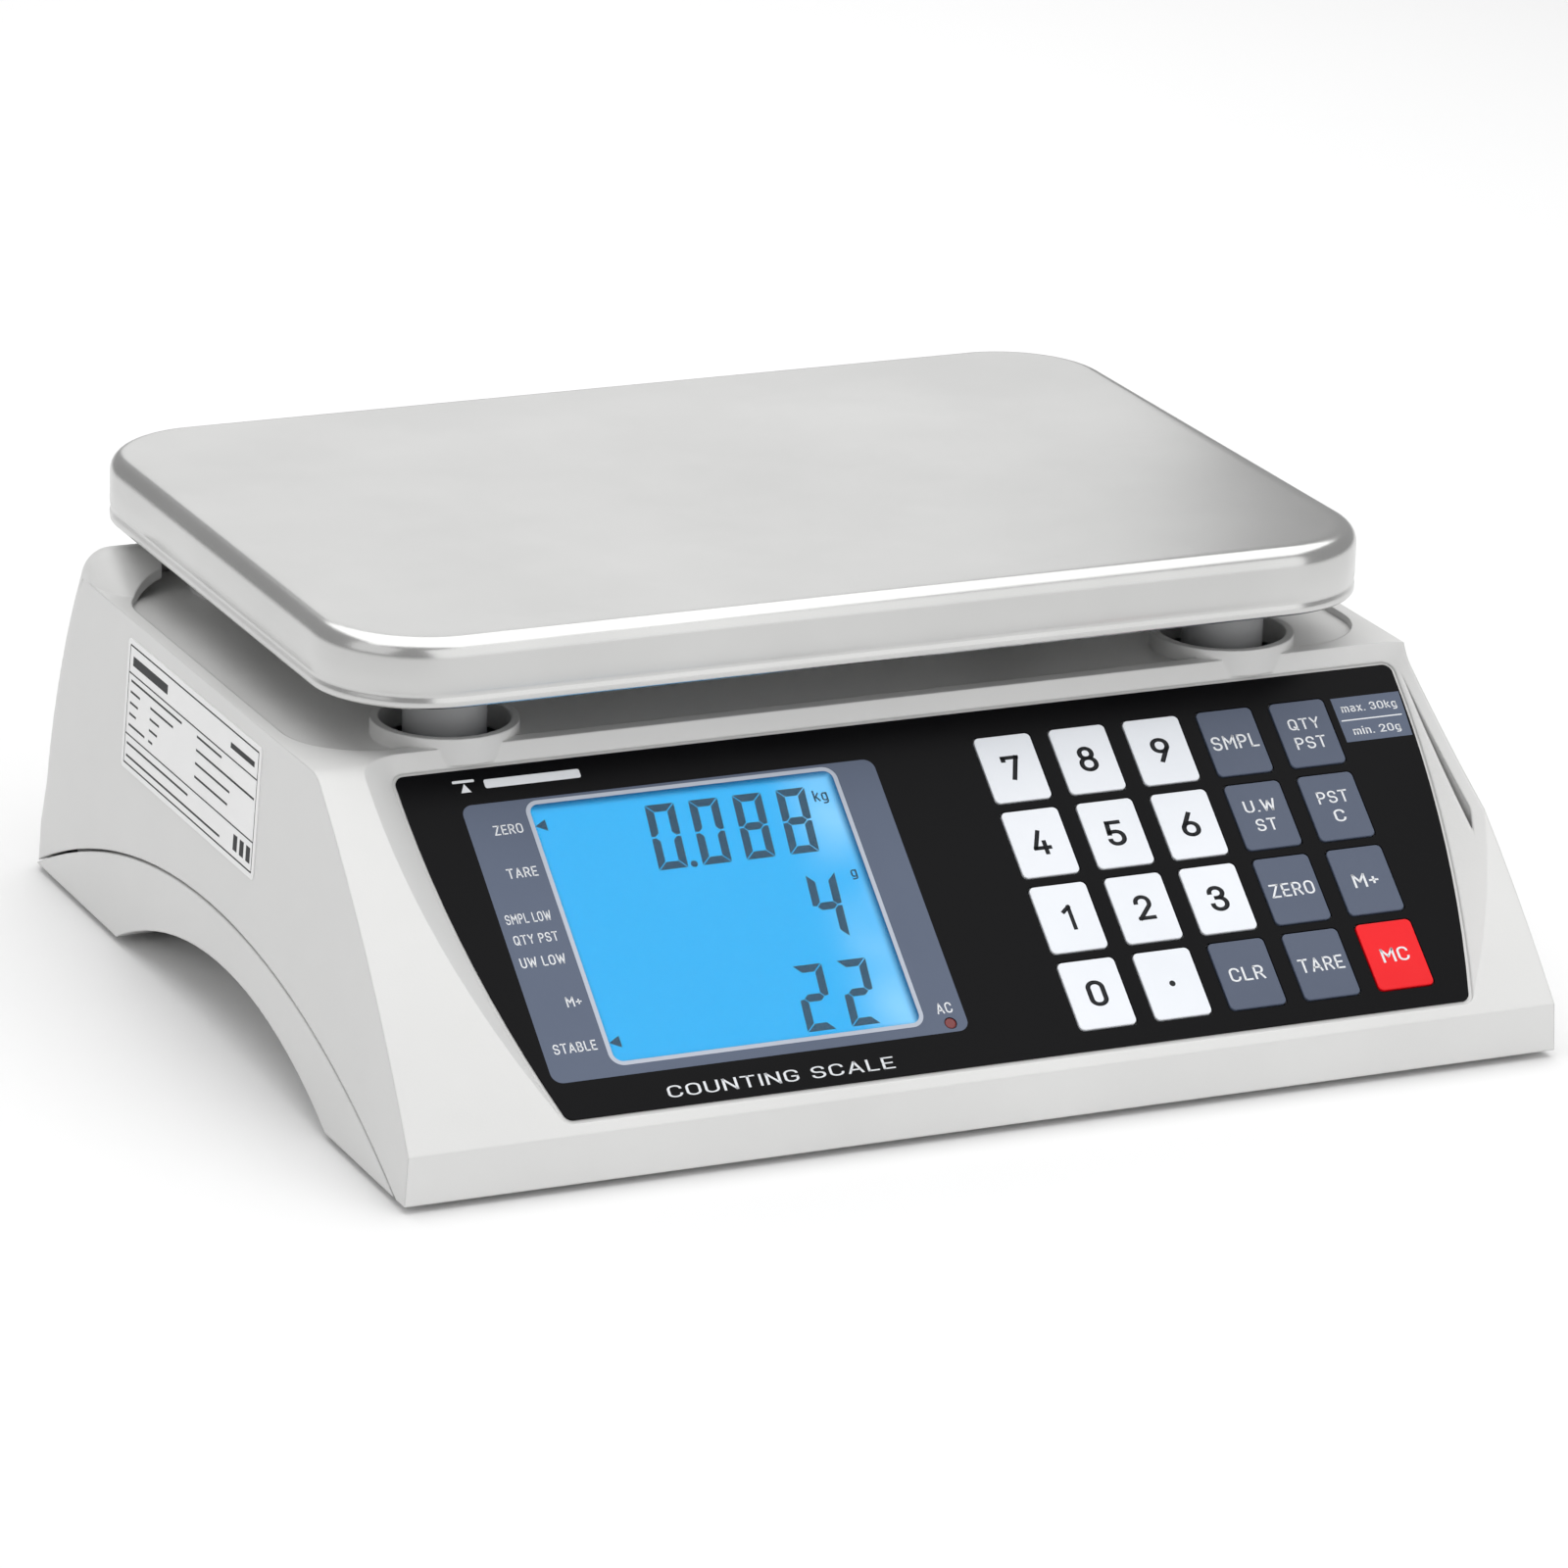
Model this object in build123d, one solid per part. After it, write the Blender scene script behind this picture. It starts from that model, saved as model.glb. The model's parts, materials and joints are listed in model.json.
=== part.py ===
"""Bench counting scale: housing, weighing platform, display, keypad and feet.

Millimetres.  X runs across the front, Y from front to back, Z up from the table.
"""
import os
from math import cos, sin, atan2, radians, degrees, hypot
from build123d import *

os.makedirs("parts", exist_ok=True)

# overall sizes
half_width = 161.0
half_width_top = 155.0
front_y = -138.0
rear_y = 137.0
skirt_z = 2.0
deck_rim_z = 89.0
hump_z = 97.0
draft_top_z = 97.0
wall = 2.5

# weighing pan
pan_width = 294.0
pan_depth = 203.0
pan_centre_y = 36.5
pan_top_z = 121.0
pan_skirt = 18.0
pan_sheet = 1.2
pan_corner = 30.0

# platform posts
post_x = 111.0
post_front_y = -37.0
post_rear_y = 94.5
collar_outer_r = 19.15
collar_inner_r = 17.0
collar_top_z = 91.6
deck_z = 87.0
cap_r = 10.8

# sloping panel: bottom edge and top edge of the overlay, in Y and Z
panel_low = (-135.5, 18.1)
panel_high = (-55.5, 83.7)
panel_length = hypot(panel_high[0] - panel_low[0], panel_high[1] - panel_low[1])
overlay_x = 9.6
overlay_half_top = 142.0
overlay_half_low = 126.5
cheek_fill = 12.0  # the cheeks beside the panel are solid up to this height over it
overlay_film = 0.5

# keys
key_columns = 5
key_rows = 4
key_pitch_x = 21.5
key_pitch_y = 22.9
key_first_x = 34.15
key_first_v = 18.85
key_width = 16.1
key_height = 20.0
key_names = [
    ["7", "8", "9", "sample", "quantity_preset"],
    ["4", "5", "6", "unit_weight", "preset_clear"],
    ["1", "2", "3", "zero", "memory_add"],
    ["0", "point", "clear", "tare", "memory_clear"],
]

# display window on the panel
window_left = -100.3
window_right = -15.0
window_top = 12.3
window_low = 89.7

# side arches
seam_reach = 132.0
seam_rise = 31.0
arch_front_y = -84.5
arch_rear_y = 68.5
arch_rise = 18.0
seam_gap = 0.4

# screw bosses joining the two housings
boss_places = [(-146, -58), (146, -58), (-120, 76), (120, 76)]

# battery bay, measured across the housing
battery_x = 24.0

# feet
foot_places = [(-135, -112), (135, -112), (-135, 106), (135, 106)]
foot_names = ["front_left", "front_right", "rear_left", "rear_right"]


def save(shape, name):
    export_step(shape, "parts/" + name + ".step")
    print(name, "solids", len(shape.solids()), "volume", round(shape.volume, 1))


def block(x0, x1, y0, y1, z0, z1):
    return Pos((x0 + x1) / 2, (y0 + y1) / 2, (z0 + z1) / 2) * Box(x1 - x0, y1 - y0, z1 - z0)


def rod(x, y, z0, z1, radius):
    return Pos(x, y, (z0 + z1) / 2) * Cylinder(radius, z1 - z0)


def panel_plane(x, down, out):
    """Plane on the sloping panel: down from its top edge, out along its normal."""
    run = (panel_high[0] - panel_low[0]) / panel_length
    rise = (panel_high[1] - panel_low[1]) / panel_length
    y = panel_high[0] - run * down - rise * out
    z = panel_high[1] - rise * down + run * out
    return Plane(origin=(x, y, z), x_dir=(1, 0, 0), z_dir=(0, -rise, run))


def panel_block(x0, x1, v0, v1, low, high, corner=0.0):
    """Slab lying on the panel between two heights measured along the normal."""
    plate = Rectangle(x1 - x0, v1 - v0)
    if corner > 0:
        plate = RectangleRounded(x1 - x0, v1 - v0, corner)
    plane = panel_plane((x0 + x1) / 2, (v0 + v1) / 2, low)
    return extrude(plane * plate, amount=high - low)


def side_outline(inset):
    """Side outline of the housing; inset pulls it in by the wall thickness."""
    if inset:
        front = front_y + wall
        back = rear_y - wall
        lines = Line((front, -6), (front, 15.6))
        lines += ThreePointArc((front, 15.6), (-102.3, 51.0), (-64.4, 83.9))
        lines += Polyline((-64.4, 83.9), (-58, 86.5), (91, 86.5), (105, 94.0), (110, 94.2), (114.6, 91.3))
        lines += ThreePointArc((114.6, 91.3), (125.0, 65.5), (132.0, 25.6))
        lines += Polyline((132.0, 25.6), (back, 13.6), (back, -6), (front, -6))
        return make_face(Plane.YZ * lines)
    lines = Line((front_y, skirt_z), (front_y, 14.8))
    lines += ThreePointArc((front_y, 14.8), (-104.1, 52.8), (-66, 86.0))
    lines += ThreePointArc((-66, 86.0), (-62.6, 88.2), (-58, deck_rim_z))
    lines += Polyline((-58, deck_rim_z), (90, deck_rim_z), (104.5, hump_z - 0.6))
    lines += ThreePointArc((104.5, hump_z - 0.6), (111.5, 96.8), (117, 92.5))
    lines += ThreePointArc((117, 92.5), (127.5, 66), (134.5, 26))
    lines += Polyline((134.5, 26), (rear_y, 14), (rear_y, skirt_z), (front_y, skirt_z))
    return make_face(Plane.YZ * lines)


def body_block(margin):
    """Body between the two drafted side walls and the rounded plan corners."""
    long_block = extrude(side_outline(margin > 0), amount=200, both=True)
    low = half_width - margin
    top = half_width_top - margin
    front_outline = Polyline(
        (-low, skirt_z - 9), (low, skirt_z - 9), (low, skirt_z), (top, draft_top_z + 1),
        (-top, draft_top_z + 1), (-low, skirt_z), (-low, skirt_z - 9))
    front_block = extrude(make_face(Plane.XZ * front_outline), amount=200, both=True)
    return long_block & front_block


def rounded_body():
    """Body with its two rear upright corners rounded."""
    body = body_block(0)
    corners = []
    for edge in body.edges():
        place = edge.center()
        upright = abs(edge.tangent_at(0.5).X) < 0.6
        if upright and place.Y > 112 and abs(place.X) > 150 and place.Z > 5:
            corners.append(edge)
    return fillet(corners, 8)


def circle_under(reach, rise, base_z, centre_y, margin=0.0):
    """Long cylinder whose top is an arch of the given reach and rise."""
    radius = (reach * reach + rise * rise) / (2 * rise)
    centre_z = base_z + rise - radius
    place = Plane.YZ * Pos(centre_y, centre_z)
    return extrude(place * Circle(radius + margin), amount=200, both=True)


def seam_cylinder(margin):
    return circle_under(seam_reach, seam_rise, skirt_z, 0.5, margin)


def arch_cylinder(margin):
    middle = (arch_front_y + arch_rear_y) / 2
    return circle_under((arch_rear_y - arch_front_y) / 2, arch_rise, skirt_z, middle, margin)


def overlay_outline(margin=0.0):
    """Overlay shape in panel coordinates, up the slope from the panel top line."""
    top = overlay_half_top + margin
    low = overlay_half_low + margin
    v_top = 0.5 - margin
    v_low = panel_length - 0.0 + margin
    edge_right = ThreePointArc((low, -v_low), (overlay_half_top - 3.9 + margin, -52), (top, -v_top))
    edge_top = Line((top, -v_top), (-top, -v_top))
    edge_left = ThreePointArc((-top, -v_top), (-overlay_half_top + 3.9 - margin, -52), (-low, -v_low))
    edge_low = Line((-low, -v_low), (low, -v_low))
    face = make_face(edge_right + edge_top + edge_left + edge_low)
    return fillet(face.vertices(), 2.5 + margin)


def key_place(row, column):
    return (key_first_x + key_pitch_x * column, key_first_v + key_pitch_y * row)


def key_slabs(grow, low, high):
    slabs = []
    for row in range(key_rows):
        for column in range(key_columns):
            x, v = key_place(row, column)
            half_x = key_width / 2 + grow
            half_v = key_height / 2 + grow
            slabs.append(panel_block(x - half_x, x + half_x, v - half_v, v + half_v,
                                     low, high, 1.2 + grow))
    return Compound(children=slabs)


def upper_housing():
    outer = rounded_body()
    inner = body_block(wall)
    shell = outer - inner
    shell -= seam_cylinder(seam_gap)
    # panel floor behind the overlay, with its recess
    floor = panel_block(-153.5, 153.5, -3.0, panel_length + 1.0, -overlay_film - 2.5, cheek_fill)
    shell += floor & outer
    recess = extrude(panel_plane(overlay_x, 0, 0) * overlay_outline(1.0), amount=14, taper=-50)
    shell -= recess
    pocket = extrude(panel_plane(overlay_x, 0, -overlay_film) * overlay_outline(0.15), amount=3)
    shell -= pocket
    groove = extrude(panel_plane(overlay_x, 0, -0.6) * overlay_outline(1.0), amount=3)
    shell -= groove
    window = panel_block(window_left - 4, window_right + 4, window_top - 3, window_low + 3, -8, 1)
    shell -= window
    shell -= key_slabs(0.6, -8, 1)
    shell -= extrude(panel_plane(-8.0, 90.4, -8) * Circle(1.8), amount=10)
    # deck: sunk floor, rear ledge, collars and post holes
    deck_plan = RectangleRounded(304, 150, 22)
    shell -= extrude(Pos(0, 25, deck_z) * deck_plan, amount=20)
    ledge_plan = RectangleRounded(276, 60, 20)
    shell -= extrude(Pos(0, 84, deck_z + 1.5) * ledge_plan, amount=20)
    deck_plate = block(-153, 153, -52, 115, deck_z - 2.5, deck_z)
    shell += deck_plate & outer
    for x in (-post_x, post_x):
        for y in (post_front_y, post_rear_y):
            shell += rod(x, y, deck_z - 2.5, collar_top_z, collar_outer_r)
            shell -= rod(x, y, deck_z - 10, collar_top_z + 12, collar_inner_r)
    # pocket for the power inlet and switch in the rear wall
    shell += block(-98, -32, 121.5, 134, 14, 50) & outer
    shell -= block(-95, -35, 124.5, 150, 17, 47)
    shell -= Pos(-80, 122, 32) * Rot(90, 0, 0) * Cylinder(4.2, 14)
    shell -= block(-59.7, -40.3, 110, 130, 25.4, 38.6)
    # screw bosses
    for x, y in boss_places:
        top = 75.5 if y < 0 else deck_z - 2
        shell += rod(x, y, 40, top, 5)
        shell -= rod(x, y, 38, 58, 1.6)
    return shell


def lower_housing():
    outer = body_block(0)
    skin = (outer & seam_cylinder(-seam_gap)) - block(-170, 170, -200, -131, -10, 60)
    skin -= block(-170, 170, 131.4, 200, -10, 60)
    skin -= block(-153.4, 153.4, -128, 129, skirt_z + wall, 60)
    tongue = (seam_cylinder(3.0) - seam_cylinder(-3.0)) & block(-170, 170, -112, 113, 9, 60)
    tongue = tongue & (block(-155.9, -153.4, -150, 150, 0, 60) + block(153.4, 155.9, -150, 150, 0, 60))
    skin += tongue
    skin += block(-157.6, 157.6, -135.1, -80, skirt_z, skirt_z + wall)
    skin += block(-157.6, 157.6, 64, 133.0, skirt_z, skirt_z + wall)
    arch_floor = arch_cylinder(wall) & block(-157, 157, -92, 76, skirt_z, 40)
    skin += arch_floor & outer
    for x in (-70, 70):
        for y in (2, 48):
            skin += rod(x, y, 6, 26, 5)
        for y in (-80, -40):
            skin += rod(x - 8 * (x / 70), y, 6, 24, 3.5)
    for x, y in boss_places:
        skin += rod(x, y, 3, 38.5, 5)
    for x, y in foot_places:
        skin += rod(x, y, skirt_z, 12.5, 15)
        if y > 0:
            skin += rod(x, y, 12, 24, 7.5)
    skin -= arch_cylinder(0) & block(-170, 170, arch_front_y - 5, arch_rear_y + 5, -20, 60)
    for x, y in foot_places:
        skin -= rod(x, y, -5, 9.8, 12.6)
        skin -= rod(x, y, 5, 30, 3.4)
    for x, y in boss_places:
        skin -= rod(x, y, -5, 45, 1.9)
        skin -= rod(x, y, -5, 34.5, 3.8)
    skin -= block(battery_x - 45.4, battery_x + 45.4, 71.6, 127.4, -5, 8)
    return skin


def weighing_pan():
    sheet = RectangleRounded(pan_width, pan_depth, pan_corner)
    pan = extrude(Pos(0, pan_centre_y, pan_top_z - pan_skirt) * sheet, amount=pan_skirt)
    top_edges = pan.faces().sort_by(Axis.Z)[-1].edges()
    pan = fillet(top_edges, 5.0)
    hollow = RectangleRounded(pan_width - 2 * pan_sheet, pan_depth - 2 * pan_sheet,
                              pan_corner - pan_sheet)
    inside = extrude(Pos(0, pan_centre_y, pan_top_z - pan_skirt - 1) * hollow,
                     amount=pan_skirt + 1 - pan_sheet)
    inside_edges = inside.faces().sort_by(Axis.Z)[-1].edges()
    inside = fillet(inside_edges, 3.9)
    return pan - inside


def platform_spider():
    frame = block(-123, 123, post_front_y - 12, post_front_y + 12, 74, 80)
    frame += block(-123, 123, post_rear_y - 12, post_rear_y + 12, 74, 80)
    for x in (-50, 50):
        frame += block(x - 12, x + 12, post_front_y, post_rear_y, 74, 80)
    frame += block(-62, 75, 6, 67, 74, 80)
    for x in (-post_x, post_x):
        for y in (post_front_y, post_rear_y):
            frame += rod(x, y, 79, 116, 6)
    for x in (42, 58):
        for y in (29, 44):
            frame -= rod(x, y, 70, 90, 3.2)
    return frame


def post_caps():
    caps = []
    for x in (-post_x, post_x):
        for y in (post_front_y, post_rear_y):
            cap = rod(x, y, 84, pan_top_z - pan_sheet - 0.3, cap_r)
            rim = cap.faces().sort_by(Axis.Z)[0].edges()
            cap = fillet(rim, 2.5)
            cap -= rod(x, y, 80, 116.1, 6.05)
            caps.append(cap)
    return Compound(children=caps)


def load_cell():
    bar = block(-65, 65, 21.5, 51.5, 38, 60)
    for x in (-12, 12):
        bar -= Pos(x, 36.5, 49) * Rot(90, 0, 0) * Cylinder(8, 60)
    bar -= block(-12, 12, 0, 80, 44, 54)
    for x in (-58, -42):
        for y in (29, 44):
            bar -= rod(x, y, 30, 55, 3.2)
    for x in (42, 58):
        for y in (29, 44):
            bar -= rod(x, y, 48, 70, 3.4)
    return bar


def fixed_spacer():
    spacer = block(-65, -35, 21.5, 51.5, 29, 38)
    for x in (-58, -42):
        for y in (29, 44):
            spacer -= rod(x, y, 20, 50, 3.2)
    return spacer


def live_spacer():
    spacer = block(35, 65, 21.5, 51.5, 60.8, 74)
    for x in (42, 58):
        for y in (29, 44):
            spacer -= rod(x, y, 50, 80, 3.2)
    return spacer


def base_plate():
    plate = block(-80, 80, -6, 56, 26, 29)
    for x in (-58, -42):
        for y in (29, 44):
            plate -= rod(x, y, 20, 40, 3.2)
    for x in (-50, 50):
        plate -= rod(x, 1, 20, 40, 3.0)
    return plate


def bolts(places, head_z, head_high, shank_z0, shank_z1):
    items = []
    for x, y in places:
        bolt = rod(x, y, head_z, head_high, 5)
        bolt += rod(x, y, shank_z0, shank_z1, 3)
        middle = (head_z + head_high) / 2
        outward = 1 if head_high > shank_z1 - 0.01 else -1
        socket = extrude(Pos(x, y, middle) * RegularPolygon(2.5, 6), amount=8 * outward)
        items.append(bolt - socket)
    return Compound(children=items)


def stop_screws():
    items = []
    for x in (-50, 50):
        pillar = rod(x, 1, 25, 72.9, 2.95) + rod(x, 1, 29, 33, 5)
        items.append(pillar)
    return Compound(children=items)


def overlay():
    film = extrude(panel_plane(overlay_x, 0, -overlay_film) * overlay_outline(0),
                   amount=overlay_film)
    film -= key_slabs(0.35, -2, 1)
    film -= panel_block(window_left, window_right, window_top, window_low, -2, 1, 1.0)
    x, v = -8.0, 90.4
    film -= extrude(panel_plane(x, v, -2) * Circle(1.6), amount=4)
    return film


def display_stack():
    left, right, top, low = window_left, window_right, window_top, window_low
    window = panel_block(left + 0.05, right - 0.05, top + 0.05, low - 0.05, -0.5, -0.1, 0.9)
    window += panel_block(left - 3.5, right + 3.5, top - 2.5, low + 2.5, -1.5, -0.5)
    glass = panel_block(left - 2.5, right + 2.5, top - 2.2, low + 2.2, -4.3, -1.9, 0.5)
    light = panel_block(left - 2.5, right + 2.5, top - 2.2, low + 2.2, -8.3, -4.3)
    board = panel_block(left - 8, right + 8, top - 5, low + 6, -10.0, -8.4)
    for x in (left - 5, right + 5):
        for v in (top - 2, low + 3):
            board -= extrude(panel_plane(x, v, -12) * Circle(1.6), amount=6)
    for step in range(5):
        x = left + 12 + 16 * step
        board += panel_block(x - 5, x + 5, 36, 48, -12.0, -10.0)
    return window, glass, light, board


def keypad():
    board = panel_block(24, 133, 6, 99, -6.6, -5.0)
    for x in (27, 130):
        board -= extrude(panel_plane(x, 9, -8) * Circle(1.2), amount=6)
    domes = []
    for row in range(key_rows):
        for column in range(key_columns):
            x, v = key_place(row, column)
            dome = extrude(panel_plane(x, v, -5.0) * Circle(5.0), amount=1.3, taper=35)
            domes.append(dome)
    return board, Compound(children=domes)


def key(row, column):
    x, v = key_place(row, column)
    half_x = key_width / 2
    half_v = key_height / 2
    slab = panel_block(x - half_x, x + half_x, v - half_v, v + half_v, -2.6, 0.35, 1.5)
    front = slab.faces().sort_by(Axis((0, 0, 0), (0, -sin(slope), cos(slope))))[-1]
    return fillet(front.edges(), 0.25)


slope = atan2(panel_high[1] - panel_low[1], panel_high[0] - panel_low[0])


def main_board():
    board = block(-70, 70, -86, -34, 24, 25.6)
    for x in (-62, 62):
        for y in (-80, -40):
            board -= rod(x, y, 20, 30, 1.6)
    board += block(-20, 4, -70, -56, 25.6, 28.2)
    board += block(20, 34, -74, -62, 25.6, 33)
    board += block(44, 58, -60, -46, 25.6, 40)
    for x in (-52, -42, -32):
        board += rod(x, -72, 25.6, 37, 4)
    board += block(-58, -34, -50, -42, 25.6, 33)
    return board


def battery():
    case = block(battery_x - 50, battery_x + 50, 57, 121, 11, 56)
    case = fillet(case.edges().filter_by(Axis.Z), 2)
    for x in (battery_x - 40, battery_x - 28):
        case += block(x - 3, x + 3, 54.5, 57, 44, 50)
    return case


def battery_bracket():
    strap = block(-54, 54, 92, 104, 56.5, 58)
    for side in (-1, 1):
        strap += Pos(53.25 * side, 98, 32) * Box(1.5, 12, 52)
        strap += Pos(59.5 * side, 98, 5.25) * Box(14, 12, 1.5)
    return Pos(battery_x, 0, 0) * strap


def battery_door():
    door = block(battery_x - 45, battery_x + 45, 72, 127, skirt_z, skirt_z + wall)
    for step in range(6):
        y = 78 + 3 * step
        door -= block(battery_x - 12, battery_x + 12, y, y + 1.2, skirt_z - 1, skirt_z + 0.8)
    return door


def dc_jack():
    body = Pos(-80, 118.9, 32) * Rot(90, 0, 0) * Cylinder(4.1, 12.4)
    body += block(-86.5, -73.5, 106, 121.4, 25, 39)
    body += Pos(-80, 125.4, 32) * Rot(90, 0, 0) * Cylinder(6.2, 1.6)
    body -= Pos(-80, 122, 32) * Rot(90, 0, 0) * Cylinder(2.8, 16)
    body += Pos(-80, 119, 32) * Rot(90, 0, 0) * Cylinder(1.0, 14)
    return body


def power_switch():
    body = block(-59.5, -40.5, 108, 124.5, 25.6, 38.4)
    body += block(-61.5, -38.5, 124.6, 126.2, 23.6, 40.4)
    body += block(-59.5, -40.5, 124, 125, 25.6, 38.4)
    body -= block(-57.3, -42.7, 117, 130, 27.2, 36.8)
    pin = Pos(-50, 122, 32) * Rot(0, 90, 0)
    body -= pin * Cylinder(0.85, 17.4)
    side = Plane.YZ * Pos(122, 32)
    profile = Polyline((-3.5, -1.8), (3.0, -3.5), (6.3, -3.5), (4.6, 0), (6.3, 3.5), (3.0, 3.5),
                       (-3.5, 1.8), close=True)
    rocker = extrude(side * make_face(profile), amount=6.9, both=True)
    rocker = Pos(-50, 0, 0) * rocker
    rocker += pin * Cylinder(0.8, 16.6)
    return body, Pos(0, 122, 32) * Rot(-9, 0, 0) * Pos(0, -122, -32) * rocker


def foot(x, y):
    sole = rod(x, y, 0, 7, 11)
    sole = fillet(sole.faces().sort_by(Axis.Z)[0].edges(), 1.0)
    sole -= rod(x, y, 3, 12, 3.05)
    screw = rod(x, y, 3.35, 24, 3.0)
    screw += rod(x, y, 7.3, 9.0, 6.0)
    return sole, screw


def rating_label():
    tilt = atan2(half_width - half_width_top, draft_top_z + 1 - skirt_z)
    z = 66.5
    x = -(half_width - (z - skirt_z) * (half_width - half_width_top) / (draft_top_z + 1 - skirt_z))
    place = Plane(origin=(x, 23.4, z), x_dir=(0, -1, 0), z_dir=(-cos(tilt), 0, sin(tilt)))
    return extrude(place * RectangleRounded(98, 35.5, 1.5), amount=0.3)


def spirit_level():
    z = deck_z + 1.5
    cup = rod(0, 103, z, z + 4.5, 8)
    cup -= rod(0, 103, z + 1, z + 6, 6.6)
    vial = rod(0, 103, z + 1.0, z + 4.2, 6.5)
    return cup, vial


def housing_screws():
    items = []
    for x, y in boss_places:
        screw = rod(x, y, 32, 34.4, 3.5) + rod(x, y, 33, 56, 1.55)
        screw -= block(x - 0.5, x + 0.5, y - 2.6, y + 2.6, 30, 33.2)
        screw -= block(x - 2.6, x + 2.6, y - 0.5, y + 0.5, 30, 33.2)
        items.append(screw)
    return Compound(children=items)


def cell_cable():
    route = FilletPolyline((-65.0, 36.5, 49), (-92, 36.5, 49), (-92, -20, 40), (-46, -46, 35.6),
                           radius=9)
    start = Plane(origin=route @ 0, z_dir=route % 0)
    return sweep(start * Circle(2), path=route)


save(upper_housing(), "upper_housing")
save(lower_housing(), "lower_housing")
save(base_plate(), "base_plate")
save(load_cell(), "load_cell")
save(fixed_spacer(), "fixed_spacer")
save(live_spacer(), "live_spacer")
save(platform_spider(), "platform_spider")
save(post_caps(), "post_caps")
save(weighing_pan(), "weighing_pan")
save(overlay(), "keypad_overlay")
window_part, glass_part, light_part, display_board_part = display_stack()
save(window_part, "display_window")
save(glass_part, "lcd_glass")
save(light_part, "lcd_backlight")
save(display_board_part, "display_board")
keypad_board_part, dome_part = keypad()
save(keypad_board_part, "keypad_board")
save(dome_part, "dome_switches")
save(main_board(), "main_board")
save(battery(), "battery")
save(battery_bracket(), "battery_bracket")
save(battery_door(), "battery_door")
save(dc_jack(), "dc_jack")
switch_part, rocker_part = power_switch()
save(switch_part, "power_switch_body")
save(rocker_part, "power_switch_rocker")
save(rating_label(), "rating_label")
cup_part, vial_part = spirit_level()
save(cup_part, "spirit_level_cup")
save(vial_part, "spirit_level_vial")
led_place = panel_plane(-8.0, 90.4, -4.0)
save(extrude(led_place * Circle(1.5), amount=3.9), "mains_led")
save(housing_screws(), "housing_screws")
fixed_places = [(x, y) for x in (-58, -42) for y in (29, 44)]
live_places = [(x, y) for x in (42, 58) for y in (29, 44)]
save(bolts(fixed_places, 20.8, 25.9, 25, 54), "load_cell_base_bolts")
save(bolts(live_places, 80.1, 84, 52, 81), "load_cell_live_bolts")
save(stop_screws(), "stop_screws")
save(cell_cable(), "load_cell_cable")
for row_index in range(key_rows):
    for column_index in range(key_columns):
        save(key(row_index, column_index), "key_" + key_names[row_index][column_index])
for foot_name, foot_place in zip(foot_names, foot_places):
    sole_part, screw_part = foot(foot_place[0], foot_place[1])
    save(sole_part, "foot_sole_" + foot_name)
    save(screw_part, "foot_screw_" + foot_name)
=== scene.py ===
import json
import math

import bmesh
import bpy
from mathutils import Matrix, Vector


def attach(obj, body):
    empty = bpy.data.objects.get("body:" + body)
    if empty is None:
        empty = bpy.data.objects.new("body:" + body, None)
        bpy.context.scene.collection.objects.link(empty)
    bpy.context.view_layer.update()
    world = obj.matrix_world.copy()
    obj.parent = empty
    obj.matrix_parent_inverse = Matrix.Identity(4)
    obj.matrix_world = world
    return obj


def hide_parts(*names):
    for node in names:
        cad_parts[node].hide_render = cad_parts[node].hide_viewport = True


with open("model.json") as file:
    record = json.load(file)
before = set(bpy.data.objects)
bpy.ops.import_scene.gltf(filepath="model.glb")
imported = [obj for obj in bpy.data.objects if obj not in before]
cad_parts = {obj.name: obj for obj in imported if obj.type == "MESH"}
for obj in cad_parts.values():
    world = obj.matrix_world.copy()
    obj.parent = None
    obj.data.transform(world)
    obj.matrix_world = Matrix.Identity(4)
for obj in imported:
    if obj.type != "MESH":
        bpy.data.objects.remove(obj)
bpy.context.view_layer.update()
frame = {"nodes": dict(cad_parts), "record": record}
nodes = frame["nodes"]
scene = bpy.context.scene
mm = 0.001
print("frame loaded:", len(nodes), "nodes")

# the sloping panel: x across, y up the slope, z out of the film
panel = {"lowY": -135.5, "lowZ": 18.1, "highY": -55.5, "highZ": 83.7}
panelSlope = math.atan2(panel["highZ"] - panel["lowZ"], panel["highY"] - panel["lowY"])
panelPlace = (Matrix.Translation((0, panel["highY"] * mm, panel["highZ"] * mm))
              @ Matrix.Rotation(panelSlope, 4, "X") @ Matrix.Scale(mm, 4))


def linkMesh(name, mesh):
    piece = bpy.data.objects.new(name, mesh)
    scene.collection.objects.link(piece)
    return piece


def finishPiece(piece, material, body, slotName, *stoodFor):
    piece.data.materials.clear()
    piece.data.materials.append(material)
    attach(piece, body)
    if stoodFor:
        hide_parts(*stoodFor)
    return piece


def takeMesh(source, name):
    # evaluated mesh of a helper object, which is then thrown away
    bpy.context.view_layer.update()
    mesh = bpy.data.meshes.new_from_object(source.evaluated_get(bpy.context.evaluated_depsgraph_get()))
    mesh.name = name
    data = source.data
    bpy.data.objects.remove(source)
    if isinstance(data, bpy.types.Curve):
        bpy.data.curves.remove(data)
    return mesh


def joinMeshes(meshes, name):
    joined = bmesh.new()
    for mesh in meshes:
        joined.from_mesh(mesh)
    result = bpy.data.meshes.new(name)
    joined.to_mesh(result)
    joined.free()
    return result


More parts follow.
